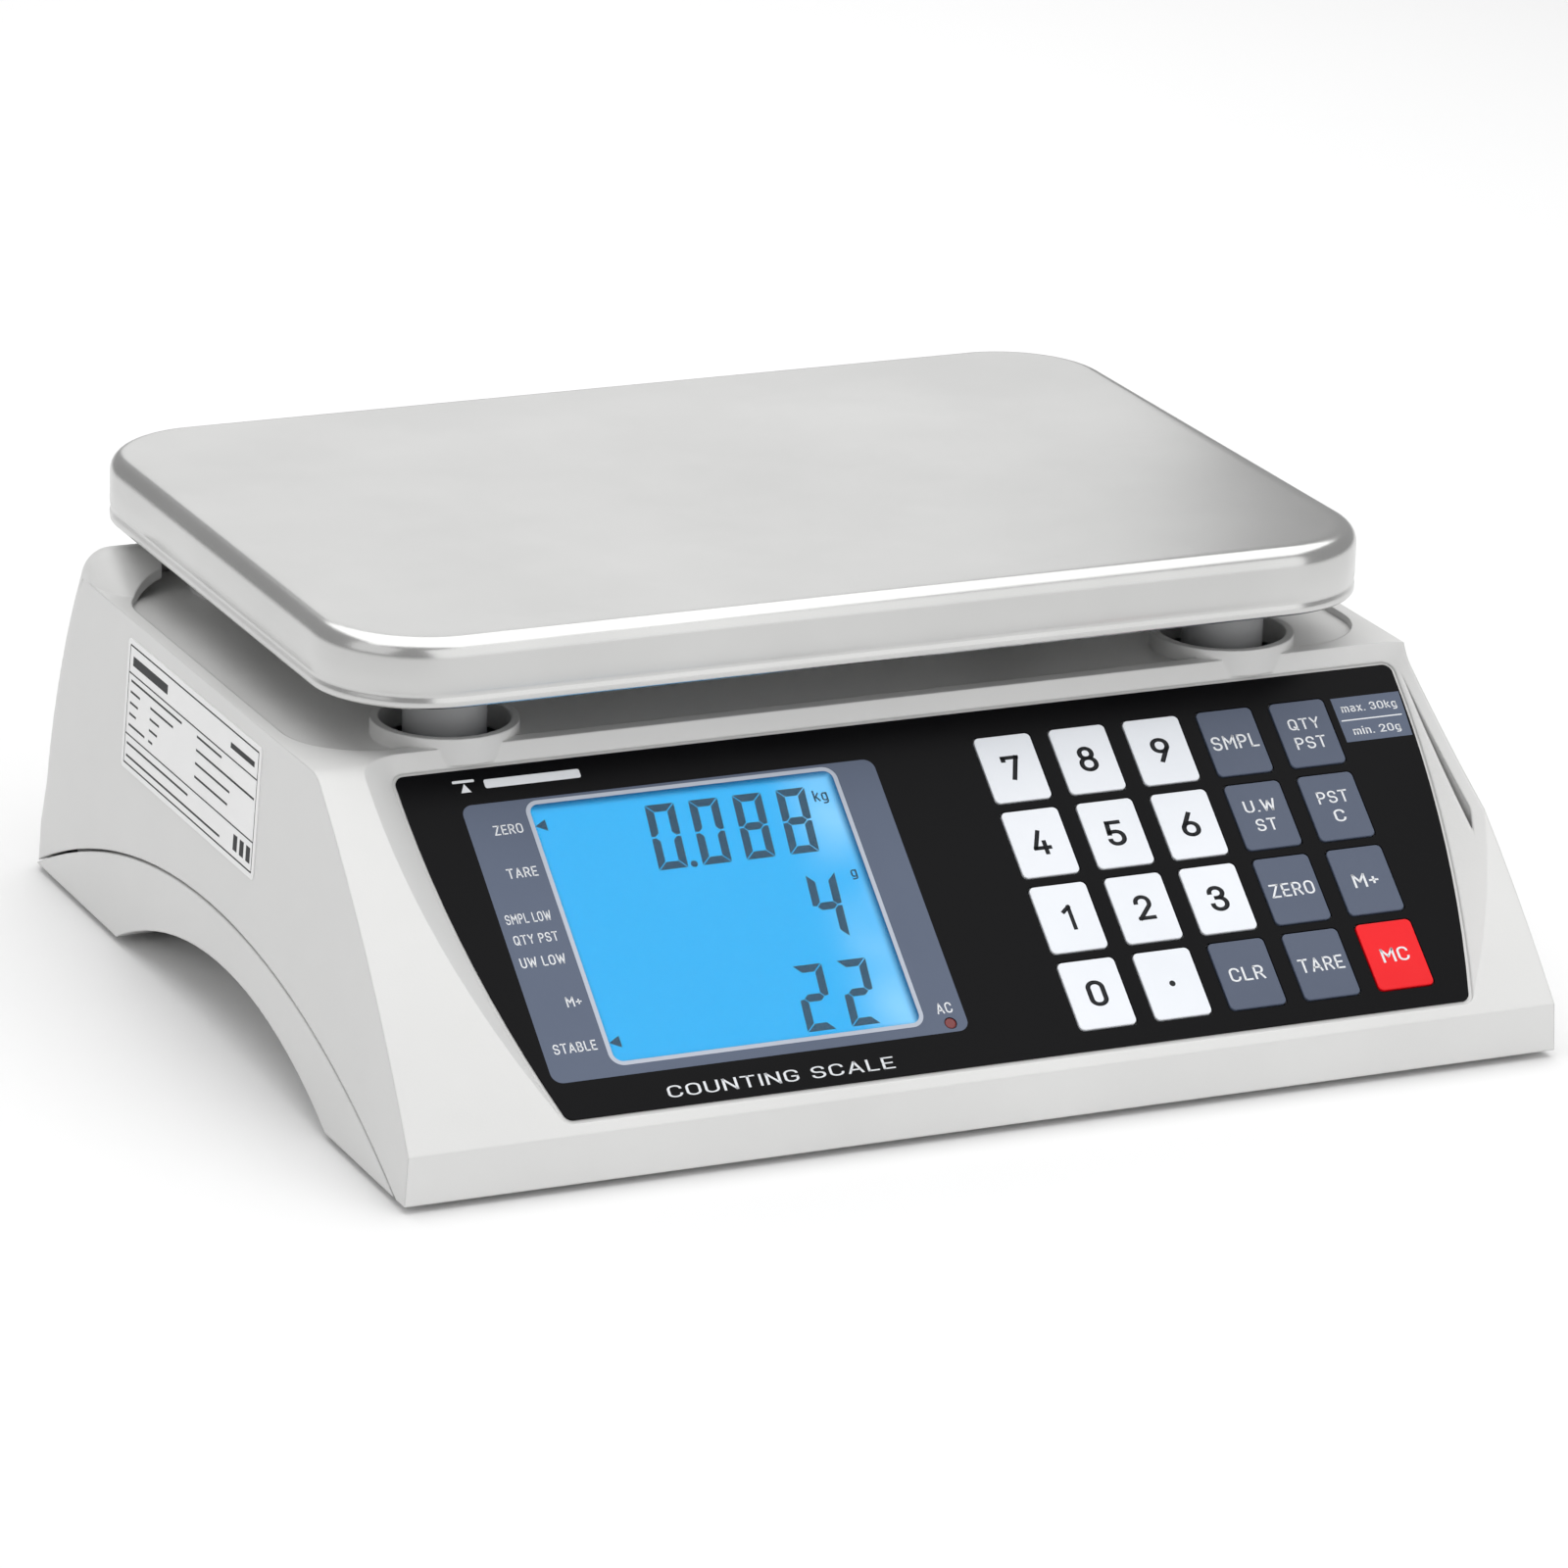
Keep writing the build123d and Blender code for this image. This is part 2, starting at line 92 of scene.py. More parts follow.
def roundedRect(x0, x1, y0, y1, radius, steps=8):
    points = []
    corners = [(x1 - radius, y1 - radius, 0), (x0 + radius, y1 - radius, 90),
               (x0 + radius, y0 + radius, 180), (x1 - radius, y0 + radius, 270)]
    for cx, cy, start in corners:
        for step in range(steps + 1):
            angle = math.radians(start + 90 * step / steps)
            points.append((cx + radius * math.cos(angle), cy + radius * math.sin(angle)))
    return points


def circlePoints(x, y, radius, steps):
    return [(x + radius * math.cos(step * math.tau / steps), y + radius * math.sin(step * math.tau / steps))
            for step in range(steps)]


def flatShape(outlines, low, high):
    # filled 2D outlines (the later ones are holes) made into a thin slab between two heights
    curve = bpy.data.curves.new("outline", "CURVE")
    curve.dimensions = "2D"
    curve.fill_mode = "BOTH"
    curve.extrude = (high - low) / 2
    for outline in outlines:
        spline = curve.splines.new("POLY")
        spline.points.add(len(outline) - 1)
        for point, (x, y) in zip(spline.points, outline):
            point.co = (x, y, 0, 1)
        spline.use_cyclic_u = True
    helper = bpy.data.objects.new("outline", curve)
    scene.collection.objects.link(helper)
    mesh = takeMesh(helper, "shape")
    mesh.transform(Matrix.Translation((0, 0, (high + low) / 2)))
    return mesh


# plain sign lettering: each stroke is a list of (x, y, corner radius), "o" marks a closed stroke
def line(x0, y0, x1, y1):
    return [(x0, y0, 0), (x1, y1, 0)]


bowl = [(0, 1, 0), (0.5, 1, 0.25), (0.5, 0.46, 0.25), (0, 0.46, 0)]
ring = ["o", (0, 0, 0.27), (0.55, 0, 0.27), (0.55, 1, 0.27), (0, 1, 0.27)]
letters = {
    "A": [line(0, 0, 0.3, 1), line(0.3, 1, 0.6, 0), line(0.11, 0.28, 0.49, 0.28)],
    "B": [line(0, 0, 0, 1), [(0, 1, 0), (0.47, 1, 0.24), (0.47, 0.52, 0.24), (0, 0.52, 0)],
          [(0, 0.52, 0), (0.52, 0.52, 0.26), (0.52, 0, 0.26), (0, 0, 0)]],
    "C": [[(0.54, 0.76, 0), (0.54, 1, 0.25), (0, 1, 0.27), (0, 0, 0.27), (0.54, 0, 0.25),
           (0.54, 0.24, 0)]],
    "E": [line(0, 0, 0, 1), line(0, 1, 0.44, 1), line(0, 0.5, 0.38, 0.5), line(0, 0, 0.44, 0)],
    "G": [[(0.54, 0.78, 0), (0.54, 1, 0.25), (0, 1, 0.27), (0, 0, 0.27), (0.54, 0, 0.25),
           (0.54, 0.45, 0)],
          line(0.54, 0.45, 0.32, 0.45)],
    "I": [line(0, 0, 0, 1)],
    "L": [line(0, 1, 0, 0), line(0, 0, 0.42, 0)],
    "M": [line(0, 0, 0, 1), line(0, 1, 0.33, 0.42), line(0.33, 0.42, 0.66, 1), line(0.66, 1, 0.66, 0)],
    "N": [line(0, 0, 0, 1), line(0, 1, 0.54, 0), line(0.54, 0, 0.54, 1)],
    "O": [ring],
    "P": [line(0, 0, 0, 1), bowl],
    "Q": [ring, line(0.34, 0.24, 0.58, -0.04)],
    "R": [line(0, 0, 0, 1), bowl, line(0.28, 0.46, 0.52, 0)],
    "S": [[(0.5, 0.8, 0), (0.5, 1, 0.22), (0, 1, 0.25), (0, 0.5, 0.24), (0.52, 0.5, 0.24),
           (0.52, 0, 0.25), (0, 0, 0.22), (0, 0.2, 0)]],
    "T": [line(0, 1, 0.54, 1), line(0.27, 1, 0.27, 0)],
    "U": [[(0, 1, 0), (0, 0, 0.27), (0.54, 0, 0.27), (0.54, 1, 0)]],
    "W": [line(0, 1, 0.19, 0), line(0.19, 0, 0.41, 0.86), line(0.41, 0.86, 0.63, 0),
          line(0.63, 0, 0.82, 1)],
    "Y": [line(0, 1, 0.27, 0.46), line(0.54, 1, 0.27, 0.46), line(0.27, 0.46, 0.27, 0)],
    "Z": [line(0, 1, 0.5, 1), line(0.5, 1, 0, 0), line(0, 0, 0.5, 0)],
    "+": [line(0, 0.44, 0.44, 0.44), line(0.22, 0.22, 0.22, 0.66)],
    ".": [line(0, 0, 0.01, 0)],
    "a": [[(0.04, 0.72, 0), (0.4, 0.72, 0.17), (0.4, 0, 0)],
          [(0.4, 0.41, 0), (0, 0.41, 0.17), (0, 0, 0.17), (0.4, 0, 0)]],
    "g": [["o", (0, 0, 0.19), (0.4, 0, 0.19), (0.4, 0.72, 0.19), (0, 0.72, 0.19)],
          [(0.4, 0.72, 0), (0.4, -0.28, 0.19), (0.04, -0.28, 0)]],
    "i": [line(0, 0, 0, 0.72), line(0, 1, 0, 1.02)],
    "k": [line(0, 0, 0, 1), line(0, 0.26, 0.36, 0.72), line(0.14, 0.42, 0.4, 0)],
    "m": [line(0, 0, 0, 0.72), [(0, 0.44, 0), (0, 0.72, 0.17), (0.33, 0.72, 0.15), (0.33, 0, 0)],
          [(0.33, 0.44, 0), (0.33, 0.72, 0.17), (0.66, 0.72, 0.15), (0.66, 0, 0)]],
    "n": [line(0, 0, 0, 0.72), [(0, 0.44, 0), (0, 0.72, 0.18), (0.38, 0.72, 0.18), (0.38, 0, 0)]],
    "x": [line(0, 0.72, 0.38, 0), line(0, 0, 0.38, 0.72)],
    "0": [["o", (0, 0, 0.25), (0.5, 0, 0.25), (0.5, 1, 0.25), (0, 1, 0.25)]],
    "1": [line(0.26, 0, 0.26, 1), line(0.26, 1, 0, 0.8)],
    "2": [[(0, 0.76, 0), (0, 1, 0.25), (0.5, 1, 0.25), (0.5, 0.6, 0.22), (0, 0, 0)], line(0, 0, 0.52, 0)],
    "3": [[(0, 0.8, 0), (0, 1, 0.22), (0.46, 1, 0.23), (0.46, 0.54, 0.22), (0.2, 0.54, 0)],
          [(0.2, 0.54, 0), (0.5, 0.54, 0.26), (0.5, 0, 0.26), (0, 0, 0.24), (0, 0.22, 0)]],
    "4": [line(0.28, 1, 0, 0.26), line(0, 0.24, 0.56, 0.24), line(0.4, 0.5, 0.4, 0)],
    "5": [line(0.46, 1, 0.06, 1), line(0.06, 1, 0.03, 0.5),
          [(0.04, 0.56, 0), (0.5, 0.6, 0.26), (0.5, 0, 0.26), (0, 0, 0.22), (0, 0.18, 0)]],
    "6": [["o", (0, 0, 0.25), (0.5, 0, 0.25), (0.5, 0.57, 0.25), (0, 0.57, 0.25)],
          line(0.32, 1, 0.04, 0.44)],
    "7": [line(0, 1, 0.5, 1), line(0.5, 1, 0.2, 0), line(0, 1, 0, 0.88)],
    "8": [["o", (0.04, 0.54, 0.2), (0.46, 0.54, 0.2), (0.46, 1, 0.21), (0.04, 1, 0.21)],
          ["o", (0, 0, 0.26), (0.5, 0, 0.26), (0.5, 0.54, 0.24), (0, 0.54, 0.24)]],
    "9": [["o", (0, 0.43, 0.25), (0.5, 0.43, 0.25), (0.5, 1, 0.25), (0, 1, 0.25)],
          line(0.46, 0.56, 0.18, 0)],
}


def newSocket(tree, name, kind, value=None, way="INPUT"):
    socket = tree.interface.new_socket(name=name, in_out=way, socket_type=kind)
    if value is not None:
        socket.default_value = value
    return socket


def strokeTree():
    # edges become a flat ribbon with rounded bends; "bend" on each point is its corner radius
    tree = bpy.data.node_groups.new("printedStrokes", "GeometryNodeTree")
    newSocket(tree, "Geometry", "NodeSocketGeometry")
    newSocket(tree, "Stroke Width", "NodeSocketFloat", 0.15)
    newSocket(tree, "Stroke Thickness", "NodeSocketFloat", 1.0)
    newSocket(tree, "Bend Steps", "NodeSocketInt", 6)
    newSocket(tree, "Finish", "NodeSocketMaterial")
    newSocket(tree, "Geometry", "NodeSocketGeometry", way="OUTPUT")
    given = tree.nodes.new("NodeGroupInput")
    out = tree.nodes.new("NodeGroupOutput")
    curve = tree.nodes.new("GeometryNodeMeshToCurve")
    tree.links.new(given.outputs["Geometry"], curve.inputs["Mesh"])
    bend = tree.nodes.new("GeometryNodeInputNamedAttribute")
    bend.data_type = "FLOAT"
    bend.inputs["Name"].default_value = "bend"
    fillet = tree.nodes.new("GeometryNodeFilletCurve")
    fillet.mode = "POLY"
    fillet.inputs["Limit Radius"].default_value = True
    tree.links.new(curve.outputs["Curve"], fillet.inputs["Curve"])
    tree.links.new(bend.outputs["Attribute"], fillet.inputs["Radius"])
    tree.links.new(given.outputs["Bend Steps"], fillet.inputs["Count"])
    flat = tree.nodes.new("GeometryNodeSetCurveNormal")
    flat.mode = "Z_UP"
    tree.links.new(fillet.outputs["Curve"], flat.inputs["Curve"])
    profile = tree.nodes.new("GeometryNodeCurvePrimitiveQuadrilateral")
    tree.links.new(given.outputs["Stroke Width"], profile.inputs["Width"])
    tree.links.new(given.outputs["Stroke Thickness"], profile.inputs["Height"])
    ribbon = tree.nodes.new("GeometryNodeCurveToMesh")
    ribbon.inputs["Fill Caps"].default_value = True
    tree.links.new(flat.outputs["Curve"], ribbon.inputs["Curve"])
    tree.links.new(profile.outputs["Curve"], ribbon.inputs["Profile Curve"])
    real = tree.nodes.new("GeometryNodeRealizeInstances")
    tree.links.new(ribbon.outputs["Mesh"], real.inputs["Geometry"])
    paint = tree.nodes.new("GeometryNodeSetMaterial")
    tree.links.new(real.outputs["Geometry"], paint.inputs["Geometry"])
    tree.links.new(given.outputs["Finish"], paint.inputs["Material"])
    tree.links.new(paint.outputs["Geometry"], out.inputs["Geometry"])
    return tree


def runTree(tree, mesh, values, name):
    helper = linkMesh("helper", mesh)
    modifier = helper.modifiers.new("nodes", "NODES")
    modifier.node_group = tree
    for item in tree.interface.items_tree:
        if item.item_type == "SOCKET" and item.in_out == "INPUT" and item.name in values:
            modifier[item.identifier] = values[item.name]
    return takeMesh(helper, name)


printedStrokes = strokeTree()
lettering = {"space": 0.42, "gap": 0.17}


def wordShape(text, centre, width, height, low, high, stroke=0.15):
    # lettering scaled to a set width and height
    points, edges, bends = [], [], []
    cursor = 0.0
    for letter in text:
        if letter == " ":
            cursor += lettering["space"]
            continue
        widest = 0.0
        for strokePoints in letters[letter]:
            closed = strokePoints[0] == "o"
            route = list(strokePoints[1:] if closed else strokePoints)
            widest = max(widest, max(x for x, y, bend in route))
            if not closed:
                for end, beside in ((0, 1), (-1, -2)):
                    x, y, bend = route[end]
                    away = Vector((x - route[beside][0], y - route[beside][1])).normalized() * stroke / 2
                    route[end] = (x + away.x, y + away.y, 0)
            first = len(points)
            for x, y, bend in route:
                points.append((cursor + x, y, 0))
                bends.append(bend)
            edges += [(first + i, first + i + 1) for i in range(len(route) - 1)]
            if closed:
                edges.append((first + len(route) - 1, first))
        cursor += widest + stroke + lettering["gap"]
    mesh = bpy.data.meshes.new("strokes")
    mesh.from_pydata(points, edges, [])
    mesh.attributes.new("bend", "FLOAT", "POINT").data.foreach_set("value", bends)
    mesh = runTree(printedStrokes, mesh, {"Stroke Width": stroke, "Stroke Thickness": 1.0}, "word")
    xs = [v.co.x for v in mesh.vertices]
    ys = [v.co.y for v in mesh.vertices]
    middle = Vector(((max(xs) + min(xs)) / 2, (max(ys) + min(ys)) / 2, 0))
    grow = Matrix.Diagonal((width / (max(xs) - min(xs)), height / (max(ys) - min(ys)), high - low, 1))
    place = Matrix.Translation((centre[0], centre[1], (low + high) / 2))
    mesh.transform(place @ grow @ Matrix.Translation(-middle))
    return mesh


def makeGroup(name, inputs, outputs):
    tree = bpy.data.node_groups.new(name, "ShaderNodeTree")
    for label, kind, value in inputs:
        newSocket(tree, label, kind, value)
    for label, kind in outputs:
        newSocket(tree, label, kind, way="OUTPUT")
    return tree, tree.nodes.new("NodeGroupInput"), tree.nodes.new("NodeGroupOutput")


def addNode(tree, kind, links=None, **settings):
    node = tree.nodes.new(kind)
    for key, value in settings.items():
        if hasattr(node, key):
            setattr(node, key, value)
        else:
            node.inputs[key.replace("_", " ")].default_value = value
    for label, source in (links or {}).items():
        tree.links.new(source, node.inputs[label])
    return node


def mathNode(tree, operation, first, second=None, clamp=False):
    node = tree.nodes.new("ShaderNodeMath")
    node.operation = operation
    node.use_clamp = clamp
    for index, value in enumerate((first, second)):
        if value is None:
            continue
        if isinstance(value, (int, float)):
            node.inputs[index].default_value = value
        else:
            tree.links.new(value, node.inputs[index])
    return node.outputs[0]


def buildMouldGrain():
    # fine spark-eroded grain and slow unevenness of a moulded shell
    tree, given, out = makeGroup("mouldGrain", [("Grain Size", "NodeSocketFloat", 1400.0),
                                                ("Unevenness", "NodeSocketFloat", 14.0)],
                                 [("Height", "NodeSocketFloat"), ("Tone", "NodeSocketFloat")])
    place = tree.nodes.new("ShaderNodeTexCoord").outputs["Object"]
    fine = addNode(tree, "ShaderNodeTexNoise", {"Vector": place, "Scale": given.outputs["Grain Size"]},
                   Detail=3.0, Roughness=0.6)
    pits = addNode(tree, "ShaderNodeTexVoronoi", {"Vector": place, "Scale": given.outputs["Grain Size"]})
    slow = addNode(tree, "ShaderNodeTexNoise", {"Vector": place, "Scale": given.outputs["Unevenness"]},
                   Detail=4.0, Roughness=0.55)
    height = mathNode(tree, "ADD", mathNode(tree, "MULTIPLY", fine.outputs["Fac"], 0.7),
                      mathNode(tree, "MULTIPLY", pits.outputs["Distance"], 0.3))
    tree.links.new(height, out.inputs["Height"])
    tree.links.new(slow.outputs["Fac"], out.inputs["Tone"])
    return tree


def buildEdgeWear():
    # mask that is high along outer edges, broken up by noise
    tree, given, out = makeGroup("edgeWear", [("Width", "NodeSocketFloat", 0.0006),
                                              ("Break Up", "NodeSocketFloat", 90.0)],
                                 [("Mask", "NodeSocketFloat"), ("Normal", "NodeSocketVector")])
    soft = addNode(tree, "ShaderNodeBevel", {"Radius": given.outputs["Width"]}, samples=6)
    sharp = tree.nodes.new("ShaderNodeNewGeometry")
    turn = addNode(tree, "ShaderNodeVectorMath", {0: soft.outputs["Normal"], 1: sharp.outputs["Normal"]},
                   operation="DOT_PRODUCT")
    place = tree.nodes.new("ShaderNodeTexCoord").outputs["Object"]
    noise = addNode(tree, "ShaderNodeTexNoise", {"Vector": place, "Scale": given.outputs["Break Up"]},
                    Detail=5.0)
    edge = mathNode(tree, "SUBTRACT", 1.0, turn.outputs["Value"], True)
    edge = mathNode(tree, "MULTIPLY", edge, 6.0, True)
    edge = mathNode(tree, "MULTIPLY", edge, noise.outputs["Fac"], True)
    tree.links.new(edge, out.inputs["Mask"])
    tree.links.new(soft.outputs["Normal"], out.inputs["Normal"])
    return tree


def buildSettledDust():
    # thin dust on faces that look up
    tree, given, out = makeGroup("settledDust", [("Amount", "NodeSocketFloat", 0.3),
                                                 ("Patch Size", "NodeSocketFloat", 35.0)],
                                 [("Mask", "NodeSocketFloat")])
    normal = tree.nodes.new("ShaderNodeNewGeometry").outputs["Normal"]
    split = addNode(tree, "ShaderNodeSeparateXYZ", {"Vector": normal})
    place = tree.nodes.new("ShaderNodeTexCoord").outputs["Object"]
    noise = addNode(tree, "ShaderNodeTexNoise", {"Vector": place, "Scale": given.outputs["Patch Size"]},
                    Detail=6.0, Roughness=0.65)
    upward = mathNode(tree, "MULTIPLY", split.outputs["Z"], noise.outputs["Fac"], True)
    mask = mathNode(tree, "MULTIPLY", upward, given.outputs["Amount"], True)
    tree.links.new(mask, out.inputs["Mask"])
    return tree


def buildBrushLines():
    # long fine scratches along X
    tree, given, out = makeGroup("brushLines", [("Fineness", "NodeSocketFloat", 900.0)],
                                 [("Height", "NodeSocketFloat"), ("Sheen", "NodeSocketFloat")])
    place = tree.nodes.new("ShaderNodeTexCoord").outputs["Object"]
    stretch = addNode(tree, "ShaderNodeMapping", {"Vector": place})
    stretch.inputs["Scale"].default_value = (0.012, 1.0, 1.0)
    lines = addNode(tree, "ShaderNodeTexNoise",
                    {"Vector": stretch.outputs["Vector"], "Scale": given.outputs["Fineness"]},
                    Detail=4.0, Roughness=0.7)
    clouds = addNode(tree, "ShaderNodeTexNoise", {"Vector": place}, Scale=9.0, Detail=3.0)
    tree.links.new(lines.outputs["Fac"], out.inputs["Height"])
    tree.links.new(clouds.outputs["Fac"], out.inputs["Sheen"])
    return tree


groups = {"grain": buildMouldGrain(), "wear": buildEdgeWear(),
          "dust": buildSettledDust(), "brush": buildBrushLines()}
print("shader groups built")


def useGroup(tree, key, **values):
    node = tree.nodes.new("ShaderNodeGroup")
    node.node_tree = groups[key]
    for label, value in values.items():
        node.inputs[label.replace("_", " ")].default_value = value
    return node


def mixColour(tree, factor, first, second):
    node = tree.nodes.new("ShaderNodeMix")
    node.data_type = "RGBA"
    for index, value in ((0, factor), (6, first), (7, second)):
        if isinstance(value, (int, float, tuple)):
            node.inputs[index].default_value = value
        else:
            tree.links.new(value, node.inputs[index])
    return node.outputs[2]


def spread(tree, value, low, high):
    # a 0..1 value carried onto a range
    node = tree.nodes.new("ShaderNodeMapRange")
    tree.links.new(value, node.inputs["Value"])
    node.inputs["From Min"].default_value = 0.3
    node.inputs["From Max"].default_value = 0.7
    node.inputs["To Min"].default_value = low
    node.inputs["To Max"].default_value = high
    return node.outputs["Result"]


def tone(red, green, blue):
    # display colour 0..255 to a linear shader colour
    def one(value):
        value /= 255
        return value / 12.92 if value <= 0.04045 else ((value + 0.055) / 1.055) ** 2.4
    return (one(red), one(green), one(blue), 1.0)


dustColour = tone(196, 192, 184)
grainHeight = 0.2 * mm


def makeFinish(name, colour, shade, rough, metallic=0.0, grainSize=1400.0, grainDepth=0.08,
               wear=0.35, wearColour=None, dust=0.15, edge=0.0006, brush=False, **extra):
    # one recipe: tone drift, grain or brush lines, worn edges and a little dust
    material = bpy.data.materials.new(name)
    material.use_nodes = True
    tree = material.node_tree
    shader = tree.nodes["Principled BSDF"]
    grain = useGroup(tree, "grain", Grain_Size=grainSize)
    worn = useGroup(tree, "wear", Width=edge)
    dusty = useGroup(tree, "dust", Amount=dust)
    base = mixColour(tree, spread(tree, grain.outputs["Tone"], 0.0, 1.0), shade, colour)
    wearMask = mathNode(tree, "MULTIPLY", worn.outputs["Mask"], wear)
    paler = tuple(min(1.0, channel * 1.35) for channel in colour[:3]) + (1.0,)
    base = mixColour(tree, wearMask, base, wearColour or paler)
    base = mixColour(tree, dusty.outputs["Mask"], base, dustColour)
    tree.links.new(base, shader.inputs["Base Color"])
    shader.inputs["Metallic"].default_value = metallic
    height = grain.outputs["Height"]
    drift = grain.outputs["Tone"]
    if brush:
        lines = useGroup(tree, "brush")
        height = lines.outputs["Height"]
        drift = lines.outputs["Sheen"]
    tree.links.new(spread(tree, drift, rough[0], rough[1]), shader.inputs["Roughness"])
    bump = tree.nodes.new("ShaderNodeBump")
    bump.inputs["Strength"].default_value = grainDepth
    bump.inputs["Distance"].default_value = grainHeight
    tree.links.new(height, bump.inputs["Height"])
    tree.links.new(worn.outputs["Normal"], bump.inputs["Normal"])
    tree.links.new(bump.outputs["Normal"], shader.inputs["Normal"])
    for label, value in extra.items():
        shader.inputs[label.replace("_", " ")].default_value = value
    return material


def makeLitPanel():
    # back light behind the liquid crystal: pale pool on the right, and painted shade under the window's rim,
    # standing in for the shadow of the recess
    material = bpy.data.materials.new("litPanel")
    material.use_nodes = True
    tree = material.node_tree
    shader = tree.nodes["Principled BSDF"]
    place = tree.nodes.new("ShaderNodeTexCoord").outputs["Object"]
    lay = addNode(tree, "ShaderNodeMapping", {"Vector": place})
    turn = Matrix.Rotation(-panelSlope, 3, "X")
    lay.inputs["Rotation"].default_value = (-panelSlope, 0, 0)
    lay.inputs["Location"].default_value = -(turn @ Vector((0, panel["highY"], panel["highZ"]))) * mm
    split = addNode(tree, "ShaderNodeSeparateXYZ", {"Vector": lay.outputs["Vector"]})
    noise = addNode(tree, "ShaderNodeTexNoise", {"Vector": place}, Scale=22.0, Detail=2.0)
    fine = addNode(tree, "ShaderNodeTexNoise", {"Vector": place}, Scale=1500.0, Detail=2.0)
    x0, x1, y0, y1 = (value * mm for value in display["window"])
    sides = mathNode(tree, "MINIMUM", mathNode(tree, "SUBTRACT", split.outputs["X"], x0),
                     mathNode(tree, "SUBTRACT", x1, split.outputs["X"]))
    ends = mathNode(tree, "MINIMUM", mathNode(tree, "SUBTRACT", split.outputs["Y"], y0),
                    mathNode(tree, "SUBTRACT", y1, split.outputs["Y"]))
    # painted shade: the glow darkens within a few mm of the window's edges, in place of the recess's shadow
    rim = addNode(tree, "ShaderNodeMapRange", {"Value": mathNode(tree, "MINIMUM", sides, ends)},
                  interpolation_type="SMOOTHSTEP")
    rim.inputs["From Min"].default_value = display["rimPaintedShade"][0] * mm
    rim.inputs["From Max"].default_value = display["rimPaintedShade"][1] * mm
    across = addNode(tree, "ShaderNodeMapRange", {"Value": split.outputs["X"]},
                     interpolation_type="SMOOTHSTEP")
    across.inputs["From Min"].default_value = display["palePool"][0] * mm
    across.inputs["From Max"].default_value = display["palePool"][1] * mm
    patch = addNode(tree, "ShaderNodeMapRange", {"Value": noise.outputs["Fac"]})
    patch.inputs["From Min"].default_value = 0.35
    patch.inputs["From Max"].default_value = 0.65
    glow = mathNode(tree, "MULTIPLY", across.outputs["Result"], patch.outputs["Result"], True)
    colour = mixColour(tree, glow, display["blue"], display["pale"])
    colour = mixColour(tree, mathNode(tree, "MULTIPLY", fine.outputs["Fac"], 0.12), colour, display["deep"])
    # the painted shade colour is mixed in along the window's edges
    colour = mixColour(tree, rim.outputs["Result"], display["rim"], colour)
    tree.links.new(colour, shader.inputs["Emission Color"])
    tree.links.new(mixColour(tree, glow, tone(12, 40, 60), tone(24, 66, 90)), shader.inputs["Base Color"])
    shader.inputs["Emission Strength"].default_value = display["strength"]
    shader.inputs["Specular IOR Level"].default_value = 0.1
    tree.links.new(spread(tree, fine.outputs["Fac"], 0.25, 0.4), shader.inputs["Roughness"])
    return material


def makeClearPlate():
    material = bpy.data.materials.new("clearPlate")
    material.use_nodes = True
    tree = material.node_tree
    shader = tree.nodes["Principled BSDF"]
    place = tree.nodes.new("ShaderNodeTexCoord").outputs["Object"]
    smear = addNode(tree, "ShaderNodeTexNoise", {"Vector": place}, Scale=40.0, Detail=5.0)
    tree.links.new(spread(tree, smear.outputs["Fac"], 0.03, 0.09), shader.inputs["Roughness"])
    tree.links.new(mixColour(tree, smear.outputs["Fac"], (0.96, 0.98, 1.0, 1.0), (1.0, 1.0, 1.0, 1.0)),
                   shader.inputs["Base Color"])
    shader.inputs["Transmission Weight"].default_value = 1.0
    shader.inputs["IOR"].default_value = 1.2
    shader.inputs["Specular IOR Level"].default_value = 0.15
    return material


# the rim colour and its span below are painted shade along the display window's edges, in place of the
# recess's shadow
display = {
    "blue": tone(28, 176, 242), "pale": tone(150, 216, 252), "deep": tone(36, 146, 220),
    "rim": tone(18, 84, 132), "strength": 1.0, "window": (-100.3, -15.0, -89.7, -12.3),
    "columns": (-65.2, -53.1, -40.95, -28.75), "rowTops": (-16.2, -41.9, -67.7),
    "digitWidth": 8.0, "digitHeight": 19.2, "stroke": 2.15, "gap": 0.2, "slant": 0.1,
    "inkLow": -1.92, "inkHigh": -1.8, "ink": tone(24, 74, 104), "rimPaintedShade": (-0.4, 2.6),
    "palePool": (-36, -17), "point": (-60.3, -34.7, 0.95), "arrowTips": (-18.4, -82.6),
}
printed = {"grainSize": 2600.0, "grainDepth": 0.04, "dust": 0.02, "edge": 0.0001, "Specular_IOR_Level": 0.16}
moulded = {"grainSize": 2400.0, "grainDepth": 0.05, "edge": 0.0003, "Specular_IOR_Level": 0.16}

